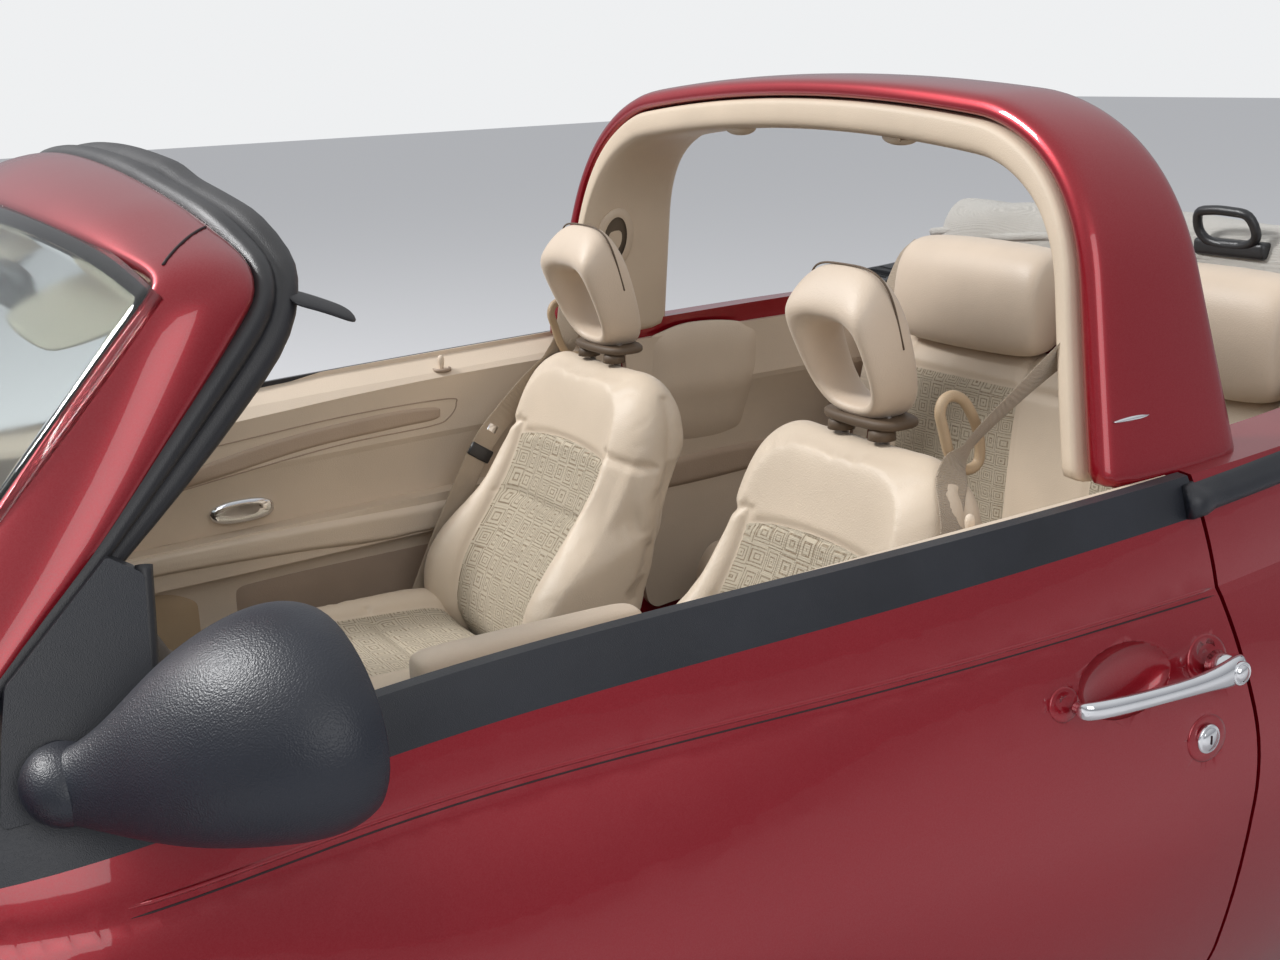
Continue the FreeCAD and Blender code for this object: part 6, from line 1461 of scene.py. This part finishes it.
rings = []
for y, half, out in ((0.155, 0.040, 0.004), (0.165, 0.052, 0.008), (0.20, 0.058, 0.009), (DRIVER_Y, 0.062, 0.009),
                     (0.53, 0.058, 0.009), (0.572, 0.052, 0.008), (0.582, 0.040, 0.004)):
    x = dash_x(y, PANEL_Z)
    rings.append([(x + 0.004, y, PANEL_Z - half), (x - out, y, PANEL_Z - half), (x - out - 0.002, y, PANEL_Z),
                  (x - out, y, PANEL_Z + half), (x + 0.004, y, PANEL_Z + half)])
lofted("gauge_panel", rings, satin_silver, "interior", subdivide=1)
for number, (offset, reach, turn) in enumerate(((-0.118, 0.040, 60), (0.0, 0.050, 128), (0.118, 0.040, 60))):
    y = DRIVER_Y + offset
    inner = reach - 0.004
    set_in("gauge_ring_%d" % (number + 1), y, GAUGE_Z, (
        (0.006, inner), (0.006, reach + 0.003), (0.016, reach + 0.002), (0.019, reach - 0.001), (0.012, inner)),
        chrome, "chrome")
    set_in("gauge_face_%d" % (number + 1), y, GAUGE_Z, (
        (0.004, 0.0), (0.004, reach - 0.003), (0.0125, reach - 0.003), (0.0125, 0.0)), dial_white)
    ticks = bmesh.new()
    base = dash_x(y, GAUGE_Z) - 0.0131
    for step in range(25):
        angle = math.radians(-135 + 270 * step / 24)
        long = 0.0042 if step % 3 else 0.0075
        out_to = reach - 0.006 - long / 2
        made = bmesh.ops.create_cube(ticks, size=1.0)["verts"]
        bmesh.ops.scale(ticks, vec=(0.0006, 0.0012, long), verts=made)
        bmesh.ops.rotate(ticks, verts=made, matrix=Matrix.Rotation(angle, 3, "X"))
        bmesh.ops.translate(ticks, verts=made, vec=(base, y - out_to * math.sin(angle),
                                                    GAUGE_Z + out_to * math.cos(angle)))
    keep("gauge_ticks_%d" % (number + 1), ticks, dial_black, "interior", smooth=False)
    angle = math.radians(turn)
    line = [Vector((base - 0.0012, y - out_to * math.sin(angle), GAUGE_Z + out_to * math.cos(angle)))
            for out_to in (-0.006, reach - 0.012)]
    piped("gauge_needle_%d" % (number + 1), line, 0.0011, 6, needle_red, "interior", tips=0.5)
for name, y, z, reach in (("far_left", 0.612, 0.800, 0.032), ("left", 0.098, 0.870, 0.036),
                          ("right", -0.010, 0.870, 0.036), ("far_right", -0.590, 0.860, 0.036)):
    set_in("vent_ring_" + name, y, z, (
        (-0.004, reach - 0.005), (-0.004, reach + 0.005), (0.008, reach + 0.004), (0.011, reach),
        (0.006, reach - 0.005)), satin_silver)
    set_in("vent_well_" + name, y, z, (
        (-0.006, 0.0), (-0.006, reach - 0.002), (0.002, reach - 0.002), (0.001, 0.0)), dial_black)
    slats = bmesh.new()
    for rise in (step * reach * 0.36 for step in range(-2, 3)):
        made = bmesh.ops.create_cube(slats, size=1.0)["verts"]
        bmesh.ops.scale(slats, vec=(0.004, math.sqrt((reach - 0.004) ** 2 - rise ** 2) * 2, 0.0026), verts=made)
        bmesh.ops.translate(slats, verts=made, vec=(dash_x(y, z) - 0.003, y, z + rise))
    keep("vent_slats_" + name, slats, tongue_black, "interior", smooth=False)
RADIO_Y, RADIO_Z = 0.044, 0.770
radio_x = dash_x(RADIO_Y, RADIO_Z)
keep("radio_front", bar_of((0.012, 0.182, 0.088), (radio_x - 0.004, RADIO_Y, RADIO_Z), 0.003), dial_black, "interior")
keep("radio_slot", bar_of((0.003, 0.120, 0.004), (radio_x - 0.0108, RADIO_Y, 0.786), 0.001), satin_silver, "interior")
for number in range(6):
    keep("radio_button_%d" % (number + 1),
         bar_of((0.005, 0.015, 0.008), (radio_x - 0.011, -0.006 + 0.020 * number, 0.748), 0.0015), satin_silver,
         "interior")
for number, (y, z, reach) in enumerate(((-0.030, 0.772, 0.010), (0.118, 0.772, 0.010), (-0.016, 0.690, 0.017),
                                        (0.044, 0.690, 0.017), (0.104, 0.690, 0.017))):
    set_in("dash_knob_%d" % (number + 1), y, z, (
        (0.002, 0.0), (0.002, reach + 0.003), (0.008, reach + 0.002), (0.010, reach), (0.022, reach * 0.86),
        (0.024, 0.0)), satin_silver, steps=24)
BOX_Y = -0.370
box_x = dash_x(BOX_Y, 0.735)
keep("glove_box_lid", bar_of((0.014, 0.400, 0.150), (box_x - 0.002, BOX_Y, 0.735), 0.005), dash_vinyl, "interior")
keep("glove_box_catch", bar_of((0.010, 0.060, 0.016), (box_x - 0.012, BOX_Y, 0.785), 0.004), satin_silver, "interior")
rings = []
for angle in (math.pi * n / 16 for n in range(17)):
    rise = 0.034 * math.sin(angle) ** 0.6
    rings.append([(x, DRIVER_Y + 0.215 * math.cos(angle), z) for x, z in (
        (0.786, 0.930 + rise), (0.782, 0.938 + rise), (0.800, 0.950 + rise), (0.860, 0.956 + rise * 1.2),
        (0.930, 0.975 + rise * 0.8), (0.930, 0.940), (0.830, 0.925))])
lofted("gauge_hood", rings, dash_vinyl, "interior", subdivide=1)

# Steering wheel
# A leather-bound rim on three spokes. A soft cover with two thumb switches sits on its hub, and two stalks stand out
# of the column behind it.
wheel_leather = finish("wheel_leather", paint_value(70, 60, 50), 0.5, tone=0.1, spread=20.0, pebble=(520.0, 0.0003))
dress(wheel_leather, "steering_wheel")
HUB = Vector((0.700, DRIVER_Y, 0.862))
TILT = math.radians(25)
UPWARD = Vector((math.sin(TILT), 0, math.cos(TILT)))
TOWARD = Vector((-math.cos(TILT), 0, math.sin(TILT)))


def on_wheel(across_by, up_by, out_by):
    """Point of the steering wheel: across it, up it, and out towards the driver."""
    return HUB + Vector((0, across_by, 0)) + UPWARD * up_by + TOWARD * out_by


rings = [[on_wheel(a, b, out) for a, b in oval(36, 0.078 * share, 0.064 * share, 0.8, 0.8)]
         for share, out in ((0.96, -0.010), (1.0, 0.004), (0.97, 0.016), (0.82, 0.026), (0.45, 0.031))]
lofted("wheel_hub_cover", rings, dash_vinyl, "wheel_leather", "steering_wheel", subdivide=1)
for side_name, side in SIDES:
    rings = [[on_wheel(side * 0.104 + a, 0.012 + b, out)
              for a, b in oval(20, 0.019 * share, 0.012 * share, 0.7, 0.7)]
             for share, out in ((1.0, 0.002), (1.0, 0.012), (0.8, 0.015), (0.3, 0.016))]
    lofted("wheel_switch_" + side_name, rings, tongue_black, "wheel_leather", "steering_wheel")
line = [on_wheel(a, b, 0.0) for a, b in oval(90, 0.1705)]
piped("wheel_stitch", line, 0.0013, 6, dark_trim_and_shade, "wheel_leather", "steering_wheel", closed=True)
for side_name, side in SIDES:
    line = smooth_line([on_wheel(side * 0.034, 0.0, -0.060), on_wheel(side * 0.090, 0.010, -0.056),
                        on_wheel(side * 0.150, 0.022, -0.050)], steps=5)
    piped("column_stalk_" + side_name, line, 0.0065, 12, tongue_black, "interior", tips=0.7)

# Console, lever and pedals
# A grained moulding over the tunnel with two cup wells, a lever with a ball knob in a leather boot, and a hand brake.
# Two steel pedals with rubber pads hang under the dashboard, and pile mats lie on the floor.
dress(dash_vinyl, "console")
console_skin = skin_of("console")
LEVER_X = 0.62
boot_z = rest_on(console_skin, LEVER_X, 0.0, top=1.0).z
rings = [[(LEVER_X + a, b, boot_z + lift) for a, b in oval(24, 0.058 * share, 0.046 * share)]
         for share, lift in ((1.0, -0.004), (0.98, 0.004), (0.72, 0.014), (0.66, 0.020), (0.44, 0.032),
                             (0.40, 0.040), (0.18, 0.056), (0.16, 0.066))]
lofted("lever_boot", rings, wheel_leather, "interior", subdivide=1)
line = [Vector((LEVER_X, 0, boot_z + 0.055)), Vector((0.606, 0, boot_z + 0.150))]
piped("lever_rod", line, 0.006, 12, chrome, "chrome")
keep("lever_ball", globe(28, 18, (0.024, 0.024, 0.026), (0.603, 0, boot_z + 0.168)), satin_silver, "interior")
brake_z = rest_on(console_skin, 0.30, -0.030, top=0.62).z
line = smooth_line([(0.33, -0.030, brake_z - 0.005), (0.25, -0.030, brake_z + 0.022),
                    (0.12, -0.030, brake_z + 0.050)])
piped("hand_brake", line, 0.015, 14, wheel_leather, "interior", tips=0.6, subdivide=1)
for number, cup_x in enumerate((0.44, 0.53)):
    cup_z = rest_on(console_skin, cup_x, 0.0, top=0.62).z
    rings = [[(cup_x + a, b, cup_z + lift) for a, b in oval(32, reach)]
             for reach, lift in ((0.042, -0.003), (0.042, 0.004), (0.039, 0.006), (0.035, 0.003), (0.034, 0.0006))]
    lofted("cup_well_%d" % (number + 1), rings, dial_black, "interior")
pile = finish("floor_pile", paint_value(112, 98, 84), 0.95, tone=0.15, spread=25.0, pebble=(900.0, 0.0012), dusty=0.1,
              sheen_weight=0.3)
dress(under_paint, "seat_bases")
for end, x, y, size in (("front", 0.67, 0.35, (0.46, 0.42, 0.008)), ("rear", -0.33, 0.35, (0.34, 0.38, 0.008))):
    for side_name, side in SIDES:
        keep("floor_mat_%s_%s" % (end, side_name), bar_of(size, (x, side * y, 0.2395), 0.0035), pile, "interior")
for part, y, z, wide in (("brake", 0.375, 0.430, 0.070), ("gas", 0.250, 0.400, 0.046)):
    keep("pedal_pad_" + part, bar_of((0.012, wide, 0.090), (0.872, y, z), 0.004, 24), rubber, "black_trim")
    line = smooth_line([(0.880, y, z), (0.905, y, z + 0.07), (0.900, y, 0.570)], steps=4)
    piped("pedal_arm_" + part, line, 0.006, 8, under_paint, "dark_steel")

# Inside mirror
# A plastic housing on a short arm, glued to the glass by a foot.
MIRROR_Z = 1.300
foot = on_glass(0.0, 1.330, 0.014)
line = smooth_line([foot, foot + Vector((-0.030, 0, -0.010)), (0.770, 0, 1.305)], steps=5)
piped("inside_mirror_arm", line, 0.007, 10, tongue_black, "black_trim")
rings = [[(x, a, MIRROR_Z + b) for a, b in oval(32, 0.118 * share, 0.029 * share, 0.6, 0.7)]
         for share, x in ((0.86, 0.772), (0.97, 0.764), (1.0, 0.752), (0.99, 0.748))]
lofted("inside_mirror_shell", rings, tongue_black, "black_trim", subdivide=1)
rings = [[(x, a, MIRROR_Z + b) for a, b in oval(32, 0.111 * share, 0.025 * share, 0.6, 0.7)]
         for share, x in ((1.0, 0.7485), (1.0, 0.7470), (0.95, 0.7462))]
lofted("inside_mirror_glass", rings, silvered, "chrome")
